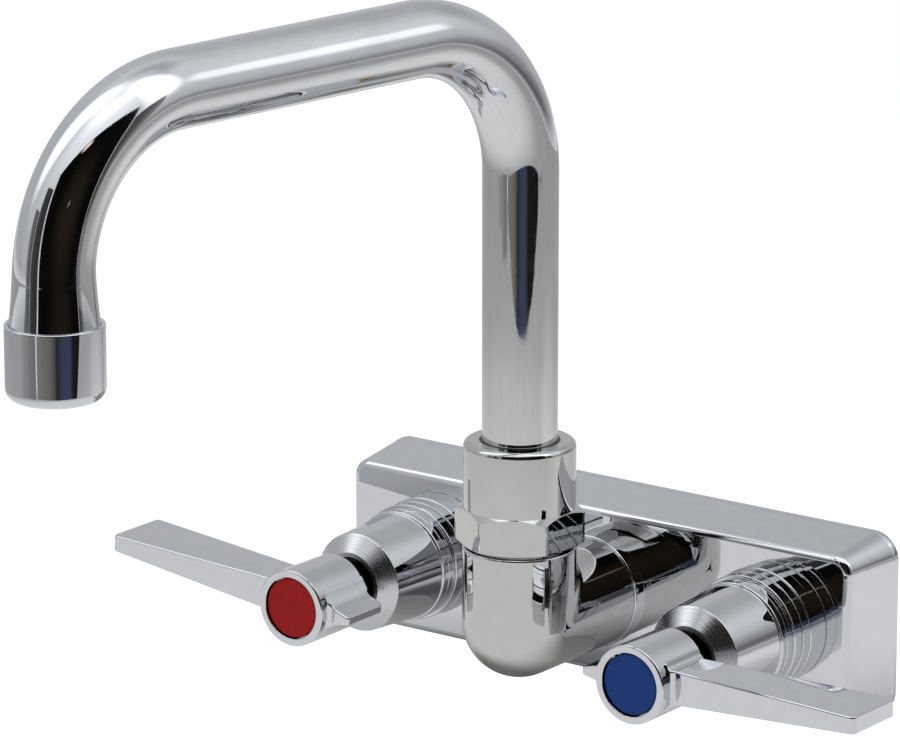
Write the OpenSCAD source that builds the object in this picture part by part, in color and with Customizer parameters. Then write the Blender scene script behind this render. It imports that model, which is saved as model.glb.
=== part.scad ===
// Splash mounted two handle faucet with a double bend swing spout.
// The wall is the plane y = 0, the faucet reaches towards -Y, and +Z is up.

/* [Backplate] */
// Distance between the two valve axes
centres = 101.6; // [98:0.2:110]
// Width of the plate at its back
plate_w = 154.8; // [148:0.2:180]
// Height of the plate at its back
plate_h = 47; // [44:0.5:60]
// Distance from the wall to the plate's front
plate_depth = 20; // [19:0.25:30]
// How far each side leans in between the plate's back and its front
plate_draft = 2.25; // [0.5:0.05:3]
// Radius of the plate's four corners at its back
plate_corner_r = 6.8; // [6:0.1:12]
// Rounding of the plate's front edges
plate_edge_r = 2; // [0.5:0.25:3]
// Depth of the straight rim at the plate's back
plate_rim = 1.8; // [1:0.1:4]
// Wall thickness of the hollow casting
plate_wall = 4; // [3:0.25:5]
// Diameter of the two low bosses under the valves
boss_d = 30.4; // [30:0.2:36]
// Diameter of the low boss under the elbow
elbow_boss_d = 28.8; // [28.2:0.2:34]
// Height of the bosses
boss_h = 2; // [1.8:0.1:4]
// Outer diameter of the valve barrels inside the casting
barrel_d = 26; // [24:0.5:30]
// Outer diameter of the cross passage inside the casting
passage_d = 9; // [8:0.25:10]
// Bore of the cross passage
passage_bore_d = 6; // [4:0.25:6.5]

/* [Wall gasket] */
// Thickness of the gasket
gasket_t = 1.6; // [1.2:0.1:3]
// How far the gasket stands out of the casting's back
gasket_proud = 0.8; // [0.4:0.1:1]
// Width of the casting's rim round the gasket
gasket_rim = 2.5; // [1.5:0.25:3]

/* [Supply shanks] */
// Outer diameter of the shank thread
shank_d = 20.9; // [20:0.1:22]
// Bore of the shank
shank_bore_d = 13; // [10:0.5:15]
// How far the shank reaches behind the wall
shank_reach = 20; // [18:1:40]
// Length of the plain end that takes the supply coupling
shank_end_len = 9; // [6:0.5:9.5]
// Length of shank inside the casting
shank_in_len = 6; // [5:0.25:6.5]
// Room for the wall between gasket and washer
wall_room = 2.5; // [2.2:0.1:2.5]
// Outer diameter of the shank washer
washer_d = 34; // [31:1:45]
// Thickness of the shank washer
washer_t = 1.5; // [1:0.1:1.8]
// Size across flats of the lock nut
lock_nut_af = 28.6; // [26:0.2:34]
// Height of the lock nut
lock_nut_h = 5.5; // [4:0.25:6]

/* [Valves] */
// Diameter of the cartridge shell in its barrel
cartridge_d = 18; // [17:0.1:19]
// Diameter of the cartridge flange
cartridge_flange_d = 22; // [21:0.1:24]
// Height of the cartridge flange
cartridge_flange_h = 2.5; // [1.5:0.1:4]
// Diameter of the threaded cartridge neck
cartridge_neck_d = 19.6; // [18:0.1:20.5]
// Thickness of the seat at the bottom of the barrel
seat_t = 2; // [1.5:0.1:2.5]
// Diameter of the ceramic discs
disc_d = 14.8; // [13.5:0.1:15]
// Thickness of one ceramic disc
disc_t = 2; // [1.6:0.1:2.4]
// Thickness of the rubber seat seal
seal_t = 2; // [1.5:0.1:2.5]
// Diameter of the port holes in the discs
port_d = 3.6; // [2.5:0.1:4]
// Diameter of the stem
stem_d = 10; // [9:0.1:11]
// Height of the stem flange that turns the disc
stem_flange_h = 2.5; // [2:0.1:3]
// Side of the square tang that carries the handle
tang_w = 6.4; // [5.5:0.1:6.6]
// Length of the square tang
tang_len = 11; // [9:0.5:12]
// Diameter of the bonnet collar
collar_d = 29.8; // [28.6:0.2:33]
// Height of the bonnet collar
collar_h = 6.5; // [4:0.25:9]
// Diameter of the bonnet's rear flange
bonnet_flange_d = 28.4; // [27.6:0.2:31]
// Height of the bonnet's rear flange
bonnet_flange_h = 4.5; // [2:0.25:6]
// Diameter of the bonnet sleeve at the back
bonnet_back_d = 27.2; // [25.4:0.2:28]
// Diameter of the bonnet sleeve at its front edge
bonnet_front_d = 25.2; // [24.6:0.2:27]
// Length of the bonnet sleeve
bonnet_len = 17; // [14:0.5:24]
// Length of the bevelled nose
nose_len = 3; // [2:0.25:5]
// Outer diameter of the nose at its tip
nose_tip_d = 16.6; // [15.6:0.2:18]
// Diameter of the hole in the nose
nose_hole_d = 14.2; // [12.6:0.2:14.6]
// Thickness of the bonnet's end wall behind the nose tip
nose_wall = 6; // [4:0.25:8]

/* [Handles] */
// Clear space between bonnet nose and handle hub
hub_gap = 6; // [4.5:0.5:10]
// Length of the handle hub
hub_len = 18.5; // [17.5:0.5:22]
// Diameter of the hub at its face
hub_face_d = 19.5; // [18:0.1:22]
// Diameter of the hub at its back
hub_back_d = 19.2; // [16:0.1:20]
// Lever length from the valve axis to its tip
lever_len = 60.4; // [50:0.5:90]
// How far the lever's front lies behind the hub face
lever_set_back = 4; // [3:0.25:5]
// Lever depth at the hub
lever_root_depth = 12.4; // [10:0.2:13]
// Lever depth at the tip
lever_tip_depth = 18; // [14:0.5:20]
// Lever thickness at the hub
lever_root_t = 9.4; // [7.8:0.1:10]
// Lever thickness at the tip
lever_tip_t = 4.3; // [2.5:0.1:6]
// Length of the short tail opposite the lever, from the valve axis
tail_len = 15.8; // [13:0.1:18]
// Thickness of the tail at its end
tail_tip_t = 1.8; // [1:0.1:3]
// Angle of the hot lever above the horizontal
hot_lift = 4.9; // [0:0.1:10]
// Angle of the cold lever above the horizontal
cold_lift = 0.6; // [0:0.1:10]
// Diameter of the coloured index button
button_d = 15.4; // [13:0.1:16]
// Thickness of the index button
button_t = 1.8; // [1:0.1:2]
// How far the button lies behind the hub face
button_sink = 0.5; // [0.2:0.1:0.8]
// Diameter of the handle screw
screw_d = 3.6; // [2.6:0.1:4]
// Diameter of the handle screw's head
screw_head_d = 7; // [6:0.1:8]
// Height of the handle screw's head
screw_head_h = 1.8; // [1.2:0.1:2.2]

/* [Spout elbow and nut] */
// Distance from the wall to the spout's swing axis
riser_out = 51.5; // [48:0.5:75]
// Diameter of the elbow
elbow_d = 28; // [26.5:0.1:31]
// Height of the elbow's shoulder above the valve axes
elbow_top = 19.4; // [16:0.2:30]
// Bore of the elbow's waterway
elbow_bore_d = 13; // [9:0.5:14]
// Diameter of the elbow's threaded neck
neck_d = 23; // [22.6:0.1:23.6]
// Length of the elbow's neck
neck_len = 18.6; // [17:0.2:24]
// Diameter of the elbow's spigot in the casting
spigot_d = 20; // [18:0.1:21]
// Length of that spigot
spigot_len = 12.5; // [11:0.5:13.5]
// Gap between the elbow's shoulder and the nut
nut_gap = 0.6; // [0.4:0.1:2]
// Size across the nut's flats
nut_af = 27.9; // [27.8:0.1:32]
// Height of the nut's hexagon
nut_hex_h = 9.4; // [8:0.2:12]
// Diameter of the nut's sleeve
nut_sleeve_d = 27.6; // [26.6:0.1:27.7]
// Height of the nut's sleeve
nut_sleeve_h = 16.7; // [14.8:0.1:26]
// Rounding of the sleeve's top edge
nut_round_r = 1.8; // [0.5:0.1:2]
// Angle that the hexagon is turned by
nut_turn = 29; // [0:1:59]

/* [Spout] */
// Outside diameter of the spout tube
tube_d = 18.5; // [17.8:0.1:19]
// Wall thickness of the spout tube
tube_wall = 1; // [0.8:0.05:1.6]
// Reach from the swing axis to the outlet's centre
reach = 149.7; // [110:0.1:260]
// Height of the spout's run above the valve axes
run_z = 150.5; // [130:0.5:220]
// Bend radius at the centre of the tube
bend_r = 37.5; // [28:0.1:45]
// Height of the outlet's lower edge above the valve axes
outlet_z = 85.5; // [60:0.1:92]
// Angle the spout stands at, from straight out towards the hot side
swing = 8; // [-30:1:30]
// Diameter of the spout's lower end fitting
fitting_d = 19.4; // [19.2:0.05:19.8]
// Thickness of the retaining ring
ring_t = 2; // [1.2:0.1:2.4]

/* [Aerator] */
// Diameter of the aerator housing
aerator_d = 22.8; // [22.4:0.1:26]
// Height of the aerator housing
aerator_h = 17.5; // [16:0.25:24]
// Rounding of the housing's lower edge
aerator_round_r = 3; // [1:0.1:3]
// Thread diameter of the outlet fitting
outlet_thread_d = 20.4; // [20.2:0.1:20.8]
// Length of that thread
outlet_thread_len = 9; // [7:0.25:9.5]
// Height of the small flare above the housing
flare_h = 3; // [2:0.25:8]
// Thickness of the aerator washer
aerator_washer_t = 1.5; // [1:0.1:2]
// Diameter of the aerator's mouth
mouth_d = 16.6; // [14:0.1:17]
// Thickness of the outlet screen
screen_t = 1; // [0.6:0.1:1.4]
// Thickness of the housing's lower lip
lip_t = 1.2; // [0.8:0.1:1.6]

/* [Hidden] */
$fn = 96;

// Clearances, each a gap on the radius
thread_gap = 0.1;
seat_gap = 0.1;
run_gap = 0.05;
free_gap = 0.3;
// Overrun of a cut past the face it opens
cut = 0.5;
// Axial play of a part that turns against a face
end_play = 0.1;

// Stations along a valve axis, measured out from the wall
barrel_floor = gasket_t + shank_in_len;
seat_top = barrel_floor + seat_t;
fixed_disc_at = seat_top + seal_t;
moving_disc_at = fixed_disc_at + disc_t;
stem_at = moving_disc_at + disc_t;
stem_flange_top = stem_at + stem_flange_h;
boss_face = plate_depth + boss_h;
collar_face = boss_face + collar_h;
bonnet_shoulder = collar_face + bonnet_flange_h;
bonnet_edge = bonnet_shoulder + bonnet_len;
nose_tip = bonnet_edge + nose_len;
neck_face = nose_tip - nose_wall;
hub_back = nose_tip + hub_gap;
hub_face = hub_back + hub_len;
tang_top = hub_back + tang_len;
button_floor = hub_face - button_sink - button_t;
screw_seat = button_floor - screw_head_h - end_play;
lever_front = hub_face - lever_set_back;
passage_at = plate_depth - passage_d / 2 - 0.5;

// Parts of the stem and discs
chamber_d = disc_d + 2 * free_gap;
port_out = disc_d / 4;
drive_len = disc_d * 0.62;
drive_w = 3;
drive_h = disc_t / 2;
o_ring_w = 1.4;
groove_w = o_ring_w + 2 * run_gap;
stem_ring_at = (boss_face + cartridge_flange_h + neck_face) / 2;
screw_len = tang_len;

// Shank
shank_relief_w = 1;
shank_relief_depth = 0.7;
thread_pitch = 1.8;
thread_depth = 0.6;

// Elbow, nut and spout heights
spigot_end = boss_face - spigot_len;
nut_bottom = elbow_top + nut_gap;
sleeve_bottom = nut_bottom + nut_hex_h;
nut_top = sleeve_bottom + nut_sleeve_h;
neck_top = elbow_top + neck_len;
nut_cavity_d = neck_d + 2 * thread_gap;
ring_at = neck_top + end_play;
bushing_at = ring_at + ring_t + end_play;
nut_lip = 1.6;
bushing_neck_at = nut_top - nut_lip;
mouth_wall = 0.45;
bushing_bore_d = tube_d + 2 * run_gap;
nut_mouth_d = bushing_bore_d + 2 * mouth_wall + 2 * seat_gap;
fitting_len = neck_len - 3;
fitting_at = neck_top - fitting_len;
fitting_spigot_d = tube_d - 2 * tube_wall - 2 * seat_gap;
fitting_spigot_len = 6;
fitting_bore_d = 12.6;
bend_z = run_z - bend_r;
tube_bore_d = tube_d - 2 * tube_wall;
groove_lip = 0.05;

// Aerator heights
aerator_top = outlet_z + aerator_h;
thread_end = aerator_top - outlet_thread_len;
aerator_wash_at = thread_end - aerator_washer_t;
screen_at = outlet_z + lip_t;
insert_at = screen_at + screen_t;
aerator_bore_d = outlet_thread_d + 2 * thread_gap;
flare_d = tube_d + 1.4;

chrome = "#c9ccd0";
brass = "#b5924a";
steel = "#8d9096";
rubber = "#222224";
ceramic = "#e9e4da";
white_plastic = "#e8e8e6";
black_plastic = "#2b2b2d";

// A straight round bar between two stations on Z
module bar(d, from, to) {
  translate([0, 0, from]) cylinder(d = d, h = to - from);
}

// A straight round bore between two stations, cut past both ends
module through(d, from, to) {
  bar(d, from - cut, to + cut);
}

module ring(d_out, d_in, from, to) {
  difference() {
    bar(d_out, from, to);
    through(d_in, from, to);
  }
}

// A groove round a part, with a little room for its ring
module ring_groove(d, at) {
  ring(d + 2 * cut, d - 2 * groove_w, at - groove_w / 2, at + groove_w / 2);
}

// A ring of round section, at the middle of a groove
module o_ring(d_out, section, at) {
  translate([0, 0, at])
    rotate_extrude()
      translate([(d_out - section) / 2, 0]) circle(d = section, $fn = 32);
}

// Stations on Z become distances out from the wall
module out_from_wall() {
  rotate([90, 0, 0]) children();
}

module valve_frame(side) {
  translate([side * centres / 2, 0, 0]) out_from_wall() children();
}

function lift(side) = side < 0 ? hot_lift : cold_lift;

// The frame that turns with a handle, lever along +X at side 1 and -X at side -1
module handle_frame(side) {
  valve_frame(side) rotate([0, 0, side * lift(side)]) children();
}

module riser_frame() {
  translate([0, -riser_out, 0]) children();
}

// The frame that swings with the spout, with the spout along -Y
module spout_frame() {
  riser_frame() rotate([0, 0, -swing]) children();
}

module outlet_frame() {
  spout_frame() translate([0, -reach, 0]) children();
}

module rounded_rectangle(w, h, r) {
  square([w - 2 * r, h], center = true);
  square([w, h - 2 * r], center = true);
  for (x = [-1, 1], y = [-1, 1])
    translate([x * (w / 2 - r), y * (h / 2 - r)]) circle(r);
}

module slab(w, h, r, from, to) {
  translate([0, 0, from]) linear_extrude(to - from) rounded_rectangle(w, h, r);
}

// Section of the plate's border: above a straight rim the side leans in to a rounded front edge.
// X runs outwards from the corner's centre, and Y runs out from the plate's back.
module border_section() {
  depth = plate_depth - gasket_proud;
  lean_h = depth - plate_rim;
  slant = sqrt(lean_h * lean_h + plate_draft * plate_draft);
  flat = plate_corner_r - ((lean_h - plate_edge_r) * plate_draft + plate_edge_r * slant) / lean_h;
  polygon([
    [0, 0],
    [plate_corner_r, 0],
    [plate_corner_r, plate_rim],
    [flat + plate_edge_r * lean_h / slant, depth - plate_edge_r + plate_edge_r * plate_draft / slant],
    [flat, depth],
    [0, depth]
  ]);
  translate([flat, depth - plate_edge_r]) circle(plate_edge_r);
}

// A straight length of the border, centred, leaning out towards +X
module border_bar(length) {
  rotate([90, 0, 0]) linear_extrude(length, center = true) border_section();
}

// The plate with leaning sides, rounded corners and rounded front edges
module plate_solid() {
  across = plate_w - 2 * plate_corner_r;
  upright = plate_h - 2 * plate_corner_r;
  depth = plate_depth - gasket_proud;
  translate([0, 0, gasket_proud]) {
    translate([-across / 2, -upright / 2, 0]) cube([across, upright, depth]);
    for (turn = [0, 180]) rotate([0, 0, turn]) {
      translate([across / 2, 0, 0]) border_bar(upright);
      translate([0, upright / 2, 0]) rotate([0, 0, 90]) border_bar(across);
      translate([across / 2, upright / 2, 0]) rotate_extrude(angle = 90) border_section();
      translate([-across / 2, upright / 2, 0]) rotate([0, 0, 90]) rotate_extrude(angle = 90) border_section();
    }
  }
}

module gasket_slab(gap, from, to) {
  inset = gasket_rim - gap;
  slab(plate_w - 2 * inset, plate_h - 2 * inset, plate_corner_r - inset, from, to);
}

module hollow() {
  w = plate_w - 2 * plate_draft - 2 * plate_wall;
  h = plate_h - 2 * plate_draft - 2 * plate_wall;
  depth = plate_depth - plate_wall;
  slab(w, h, plate_corner_r / 2, gasket_t - cut, depth);
}

module cross_passage(d, half_len) {
  translate([0, 0, passage_at]) rotate([0, 90, 0]) cylinder(d = d, h = 2 * half_len, center = true);
}

module body_casting() {
  color(chrome) out_from_wall() difference() {
    union() {
      difference() {
        plate_solid();
        gasket_slab(free_gap, gasket_proud - cut, gasket_t);
        hollow();
      }
      for (side = [-1, 1]) translate([side * centres / 2, 0, 0]) {
        bar(barrel_d, gasket_t, plate_depth - plate_edge_r);
        bar(boss_d, plate_depth - plate_wall, boss_face);
      }
      bar(barrel_d, spigot_end - seat_t, plate_depth - plate_edge_r);
      bar(elbow_boss_d, plate_depth - plate_wall, boss_face);
      cross_passage(passage_d, centres / 2 - cartridge_d / 2 - 1);
    }
    for (side = [-1, 1]) translate([side * centres / 2, 0, 0]) {
      bar(shank_d + 2 * thread_gap, gasket_t - cut, barrel_floor);
      through(shank_bore_d - 2, barrel_floor, seat_top);
      bar(cartridge_d + 2 * seat_gap, seat_top, boss_face + cut);
    }
    bar(spigot_d + 2 * seat_gap, spigot_end, boss_face + cut);
    cross_passage(passage_bore_d, centres / 2 - cartridge_d / 4);
  }
}

module wall_gasket() {
  color(rubber) out_from_wall() difference() {
    gasket_slab(0, 0, gasket_t);
    for (side = [-1, 1]) translate([side * centres / 2, 0, 0])
      through(shank_d + 2 * free_gap, 0, gasket_t);
  }
}

// The tail has a ringed thread where the lock nut runs and a plain end for the coupling
module inlet_shank(side) {
  thread_from = wall_room;
  thread_to = shank_reach - shank_end_len;
  color(brass) valve_frame(side) difference() {
    bar(shank_d, -shank_reach, barrel_floor);
    through(shank_bore_d, -shank_reach, barrel_floor);
    for (at = [thread_from : thread_pitch : thread_to - shank_relief_w - thread_pitch])
      ring(shank_d + 2 * cut, shank_d - 2 * thread_depth, -at - thread_pitch / 2, -at);
    ring(shank_d + 2 * cut, shank_d - 2 * shank_relief_depth, -thread_to, -thread_to + shank_relief_w);
  }
}

module shank_washers() {
  color(steel) for (side = [-1, 1]) valve_frame(side)
    ring(washer_d, shank_d + 2 * thread_gap, -wall_room - washer_t, -wall_room);
}

module shank_lock_nuts() {
  from = -wall_room - washer_t - lock_nut_h;
  color(brass) for (side = [-1, 1]) valve_frame(side) difference() {
    translate([0, 0, from]) cylinder(d = lock_nut_af / cos(30), h = lock_nut_h, $fn = 6);
    through(shank_d + 2 * thread_gap, from, from + lock_nut_h);
  }
}

// A turned ring with one fine groove round its middle
module bonnet_collar(side) {
  slot_w = 0.8;
  slot_depth = 0.7;
  middle = (boss_face + collar_face) / 2;
  color(chrome) valve_frame(side) difference() {
    ring(collar_d, cartridge_flange_d + 2 * seat_gap, boss_face, collar_face);
    ring(collar_d + 2 * cut, collar_d - 2 * slot_depth, middle - slot_w / 2, middle + slot_w / 2);
  }
}

module bonnet(side) {
  color(chrome) valve_frame(side) difference() {
    union() {
      bar(bonnet_flange_d, collar_face, bonnet_shoulder);
      translate([0, 0, bonnet_shoulder]) cylinder(d1 = bonnet_back_d, d2 = bonnet_front_d, h = bonnet_len);
      translate([0, 0, bonnet_edge]) cylinder(d1 = bonnet_front_d, d2 = nose_tip_d, h = nose_len);
    }
    bar(cartridge_neck_d + 2 * thread_gap, collar_face - cut, neck_face);
    through(nose_hole_d, neck_face, nose_tip);
  }
}

module cartridge(side) {
  color(brass) valve_frame(side) difference() {
    union() {
      bar(cartridge_d, seat_top, boss_face);
      bar(cartridge_flange_d, boss_face, boss_face + cartridge_flange_h);
      bar(cartridge_neck_d, boss_face + cartridge_flange_h, neck_face);
    }
    bar(chamber_d, seat_top - cut, stem_flange_top + end_play);
    through(stem_d + 2 * run_gap, stem_flange_top, neck_face);
    translate([0, 0, passage_at]) rotate([0, -side * 90, 0]) cylinder(d = passage_bore_d - 2, h = cartridge_d);
  }
}

module fixed_disc(side) {
  color(ceramic) valve_frame(side) difference() {
    bar(disc_d, fixed_disc_at, moving_disc_at);
    for (y = [-1, 1]) translate([0, y * port_out, 0]) through(port_d, fixed_disc_at, moving_disc_at);
  }
}

module seat_seal(side) {
  color(rubber) valve_frame(side) ring(disc_d, shank_bore_d - 2, seat_top, fixed_disc_at);
}

// A bar across the disc that the stem drives it by
module drive_key(gap, from, to) {
  translate([-drive_len / 2 - gap, -drive_w / 2 - gap, from])
    cube([drive_len + 2 * gap, drive_w + 2 * gap, to - from]);
}

module stem(side) {
  color(steel) handle_frame(side) difference() {
    union() {
      drive_key(0, stem_at - drive_h + end_play, stem_at);
      bar(disc_d, stem_at, stem_flange_top);
      bar(stem_d, stem_flange_top, hub_back);
      translate([-tang_w / 2, -tang_w / 2, hub_back]) cube([tang_w, tang_w, tang_len]);
    }
    ring_groove(stem_d, stem_ring_at);
    bar(screw_d, tang_top - screw_len, tang_top + cut);
  }
}

module stem_o_ring(side) {
  color(rubber) handle_frame(side) o_ring(stem_d, o_ring_w, stem_ring_at);
}

module moving_disc(side) {
  color(ceramic) handle_frame(side) difference() {
    bar(disc_d, moving_disc_at, stem_at);
    drive_key(seat_gap, stem_at - drive_h, stem_at + cut);
    for (x = [-1, 1]) translate([x * port_out, 0, 0]) through(port_d, moving_disc_at, stem_at);
  }
}

// Plan of the lever and its tail, X along the lever and Y out from the wall
module handle_plan() {
  root_x = hub_back_d / 2;
  polygon([
    [-tail_len, lever_front],
    [lever_len, lever_front],
    [lever_len, lever_front - lever_tip_depth],
    [root_x, lever_front - lever_root_depth],
    [-tail_len, lever_front - lever_root_depth]
  ]);
}

// Edge view of the lever and its tail, X along the lever and Y across its thickness
module handle_edge() {
  tail_root = hub_back_d / 4;
  tail_foot = 3.6;
  polygon([
    [lever_len, lever_tip_t / 2],
    [0, lever_root_t / 2],
    [-tail_root, lever_root_t / 2],
    [-tail_len, tail_tip_t / 2],
    [-tail_len, -tail_tip_t / 2],
    [-tail_len + tail_foot, -lever_root_t / 2],
    [0, -lever_root_t / 2],
    [lever_len, -lever_tip_t / 2]
  ]);
}

module handle(side) {
  color(chrome) handle_frame(side) difference() {
    union() {
      translate([0, 0, hub_back]) cylinder(d1 = hub_back_d, d2 = hub_face_d, h = hub_len);
      mirror([side < 0 ? 1 : 0, 0, 0]) intersection() {
        rotate([90, 0, 0]) linear_extrude(lever_root_t + 2 * cut, center = true) handle_plan();
        linear_extrude(hub_face) handle_edge();
      }
    }
    translate([-tang_w / 2 - seat_gap, -tang_w / 2 - seat_gap, hub_back - cut])
      cube([tang_w + 2 * seat_gap, tang_w + 2 * seat_gap, tang_len + cut + end_play]);
    through(screw_d + 2 * seat_gap, tang_top, screw_seat);
    bar(screw_head_d + 2 * free_gap, screw_seat, button_floor + cut);
    bar(button_d + 2 * seat_gap, button_floor, hub_face + cut);
  }
}

module handle_screw(side) {
  color("#9a9da3") handle_frame(side) difference() {
    union() {
      bar(screw_d, tang_top - screw_len + 1, screw_seat);
      bar(screw_head_d, screw_seat, screw_seat + screw_head_h);
    }
    for (turn = [0, 90]) rotate([0, 0, turn])
      translate([-screw_head_d / 3, -0.4, screw_seat + screw_head_h - 0.9]) cube([screw_head_d / 1.5, 0.8, 1.4]);
  }
}

module index_button(side) {
  bevel = 0.3;
  color(side < 0 ? "#9a1d1d" : "#1d3a7a") handle_frame(side) {
    bar(button_d, button_floor, button_floor + button_t - bevel);
    translate([0, 0, button_floor + button_t - bevel]) cylinder(d1 = button_d, d2 = button_d - 2 * bevel, h = bevel);
  }
}

module spout_elbow() {
  color(chrome) difference() {
    union() {
      riser_frame() sphere(d = elbow_d);
      riser_frame() bar(elbow_d, 0, elbow_top);
      riser_frame() bar(neck_d, elbow_top - cut, neck_top);
      out_from_wall() bar(elbow_d, boss_face, riser_out);
      out_from_wall() bar(spigot_d, spigot_end, boss_face + cut);
    }
    riser_frame() bar(fitting_d + 2 * run_gap, fitting_at - end_play, neck_top + cut);
    riser_frame() sphere(d = elbow_bore_d);
    riser_frame() bar(elbow_bore_d, 0, fitting_at);
    out_from_wall() bar(elbow_bore_d, spigot_end - cut, riser_out);
    out_from_wall() cross_passage(passage_bore_d, spigot_d);
    out_from_wall() ring_groove(spigot_d, elbow_o_ring_at());
  }
}

// The seal sits in the bore of the boss, in front of the cross passage
function elbow_o_ring_at() = plate_depth + boss_h / 2;

module elbow_o_ring() {
  color(rubber) out_from_wall() o_ring(spigot_d, o_ring_w, elbow_o_ring_at());
}

// Outline of the nut's sleeve on the radius
module sleeve_outline() {
  r = nut_sleeve_d / 2;
  square([r, nut_top - nut_round_r]);
  square([r - nut_round_r, nut_top]);
  translate([r - nut_round_r, nut_top - nut_round_r]) circle(nut_round_r);
}

module nut_hexagon() {
  corner_d = nut_af / cos(30);
  slope = 1.6;
  intersection() {
    translate([0, 0, nut_bottom]) rotate([0, 0, nut_turn]) cylinder(d = corner_d, h = nut_hex_h, $fn = 6);
    union() {
      bar(corner_d + 1, nut_bottom - cut, sleeve_bottom - slope);
      translate([0, 0, sleeve_bottom - slope]) cylinder(d1 = corner_d + 1, d2 = nut_af, h = slope);
    }
  }
}

module spout_nut() {
  color(chrome) riser_frame() difference() {
    union() {
      nut_hexagon();
      intersection() {
        rotate_extrude() sleeve_outline();
        bar(nut_sleeve_d + 1, sleeve_bottom - cut, nut_top + cut);
      }
    }
    bar(nut_cavity_d, nut_bottom - cut, bushing_neck_at);
    through(nut_mouth_d, bushing_neck_at, nut_top);
  }
}

module spout_bushing() {
  color(black_plastic) riser_frame() difference() {
    union() {
      bar(nut_cavity_d - 2 * seat_gap, bushing_at, bushing_neck_at);
      bar(nut_mouth_d - 2 * seat_gap, bushing_neck_at, nut_top);
    }
    through(bushing_bore_d, bushing_at, nut_top);
  }
}

// The spout's path filled to a diameter, longer at both ends by extra
module spout_path(d, extra) {
  run = reach - 2 * bend_r;
  tube_end = thread_end + (aerator_top - thread_end) / 2;
  bar(d, neck_top - extra, bend_z);
  translate([0, -bend_r, bend_z]) rotate([90, 0, 90]) rotate_extrude(angle = 90)
    translate([bend_r, 0]) circle(d = d);
  translate([0, -bend_r, run_z]) rotate([90, 0, 0]) cylinder(d = d, h = run);
  translate([0, bend_r - reach, bend_z]) rotate([90, 0, 90]) rotate([0, 0, 90]) rotate_extrude(angle = 90)
    translate([bend_r, 0]) circle(d = d);
  translate([0, -reach, 0]) bar(d, tube_end - extra, bend_z);
}

module spout_tube() {
  color(chrome) spout_frame() difference() {
    spout_path(tube_d, 0);
    spout_path(tube_bore_d, cut);
  }
}

// The turned end that runs in the elbow's neck
module spout_end_fitting() {
  color(brass) spout_frame() difference() {
    union() {
      bar(fitting_d, fitting_at, neck_top);
      bar(fitting_spigot_d, neck_top - cut, neck_top + fitting_spigot_len);
    }
    through(fitting_bore_d, fitting_at, neck_top + fitting_spigot_len);
    for (at = spout_ring_stations()) ring_groove(fitting_d, at);
  }
}

function spout_ring_stations() = [fitting_at + fitting_len * 0.25, fitting_at + fitting_len * 0.6];

module spout_o_rings() {
  color(rubber) spout_frame()
    for (at = spout_ring_stations()) o_ring(fitting_d, o_ring_w, at);
}

module spout_retaining_ring() {
  color(brass) spout_frame()
    ring(nut_cavity_d - 2 * free_gap, tube_d + 2 * groove_lip, ring_at, ring_at + ring_t);
}

// The threaded end on the tube that takes the aerator, with a small flare above
module outlet_fitting() {
  tube_end = thread_end + (aerator_top - thread_end) / 2;
  color(chrome) outlet_frame() difference() {
    union() {
      bar(outlet_thread_d, thread_end, aerator_top);
      translate([0, 0, aerator_top]) cylinder(d1 = flare_d, d2 = tube_d + 0.4, h = flare_h);
    }
    through(tube_bore_d, thread_end, tube_end);
    bar(tube_d + 2 * groove_lip, tube_end, aerator_top + flare_h + cut);
  }
}

// Outline of the aerator housing on the radius
module aerator_outline() {
  r = aerator_d / 2;
  translate([0, aerator_round_r]) square([r, aerator_h - aerator_round_r]);
  square([r - aerator_round_r, aerator_h]);
  translate([r - aerator_round_r, aerator_round_r]) circle(aerator_round_r);
}

module aerator_housing() {
  color(chrome) outlet_frame() difference() {
    translate([0, 0, outlet_z]) rotate_extrude() aerator_outline();
    bar(aerator_bore_d, thread_end, aerator_top + cut);
    bar(insert_d() + 2 * seat_gap, screen_at, thread_end + cut);
    through(mouth_d, outlet_z, screen_at);
  }
}

function insert_d() = mouth_d + 1.6;

module aerator_washer() {
  color(rubber) outlet_frame() ring(insert_d(), insert_d() - 5, aerator_wash_at, thread_end);
}

// A cup with a ring of small jets in its floor
module aerator_insert() {
  floor_t = 1.2;
  jets = 8;
  jet_d = 1.8;
  color(white_plastic) outlet_frame() difference() {
    bar(insert_d(), insert_at, aerator_wash_at);
    bar(insert_d() - 3, insert_at - cut, aerator_wash_at - floor_t);
    for (i = [0 : jets - 1]) rotate([0, 0, i * 360 / jets])
      translate([insert_d() / 4, 0, 0]) through(jet_d, aerator_wash_at - floor_t, aerator_wash_at);
  }
}

// A disc pierced by rings of small holes
module aerator_screen() {
  hole_d = 1.5;
  rings = 3;
  step = (mouth_d / 2 - 1) / rings;
  color(steel) outlet_frame() difference() {
    bar(insert_d(), screen_at, insert_at);
    through(hole_d, screen_at, insert_at);
    for (k = [1 : rings], i = [0 : 6 * k - 1]) rotate([0, 0, i * 60 / k])
      translate([k * step - hole_d / 4, 0, 0]) through(hole_d, screen_at, insert_at);
  }
}

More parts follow.
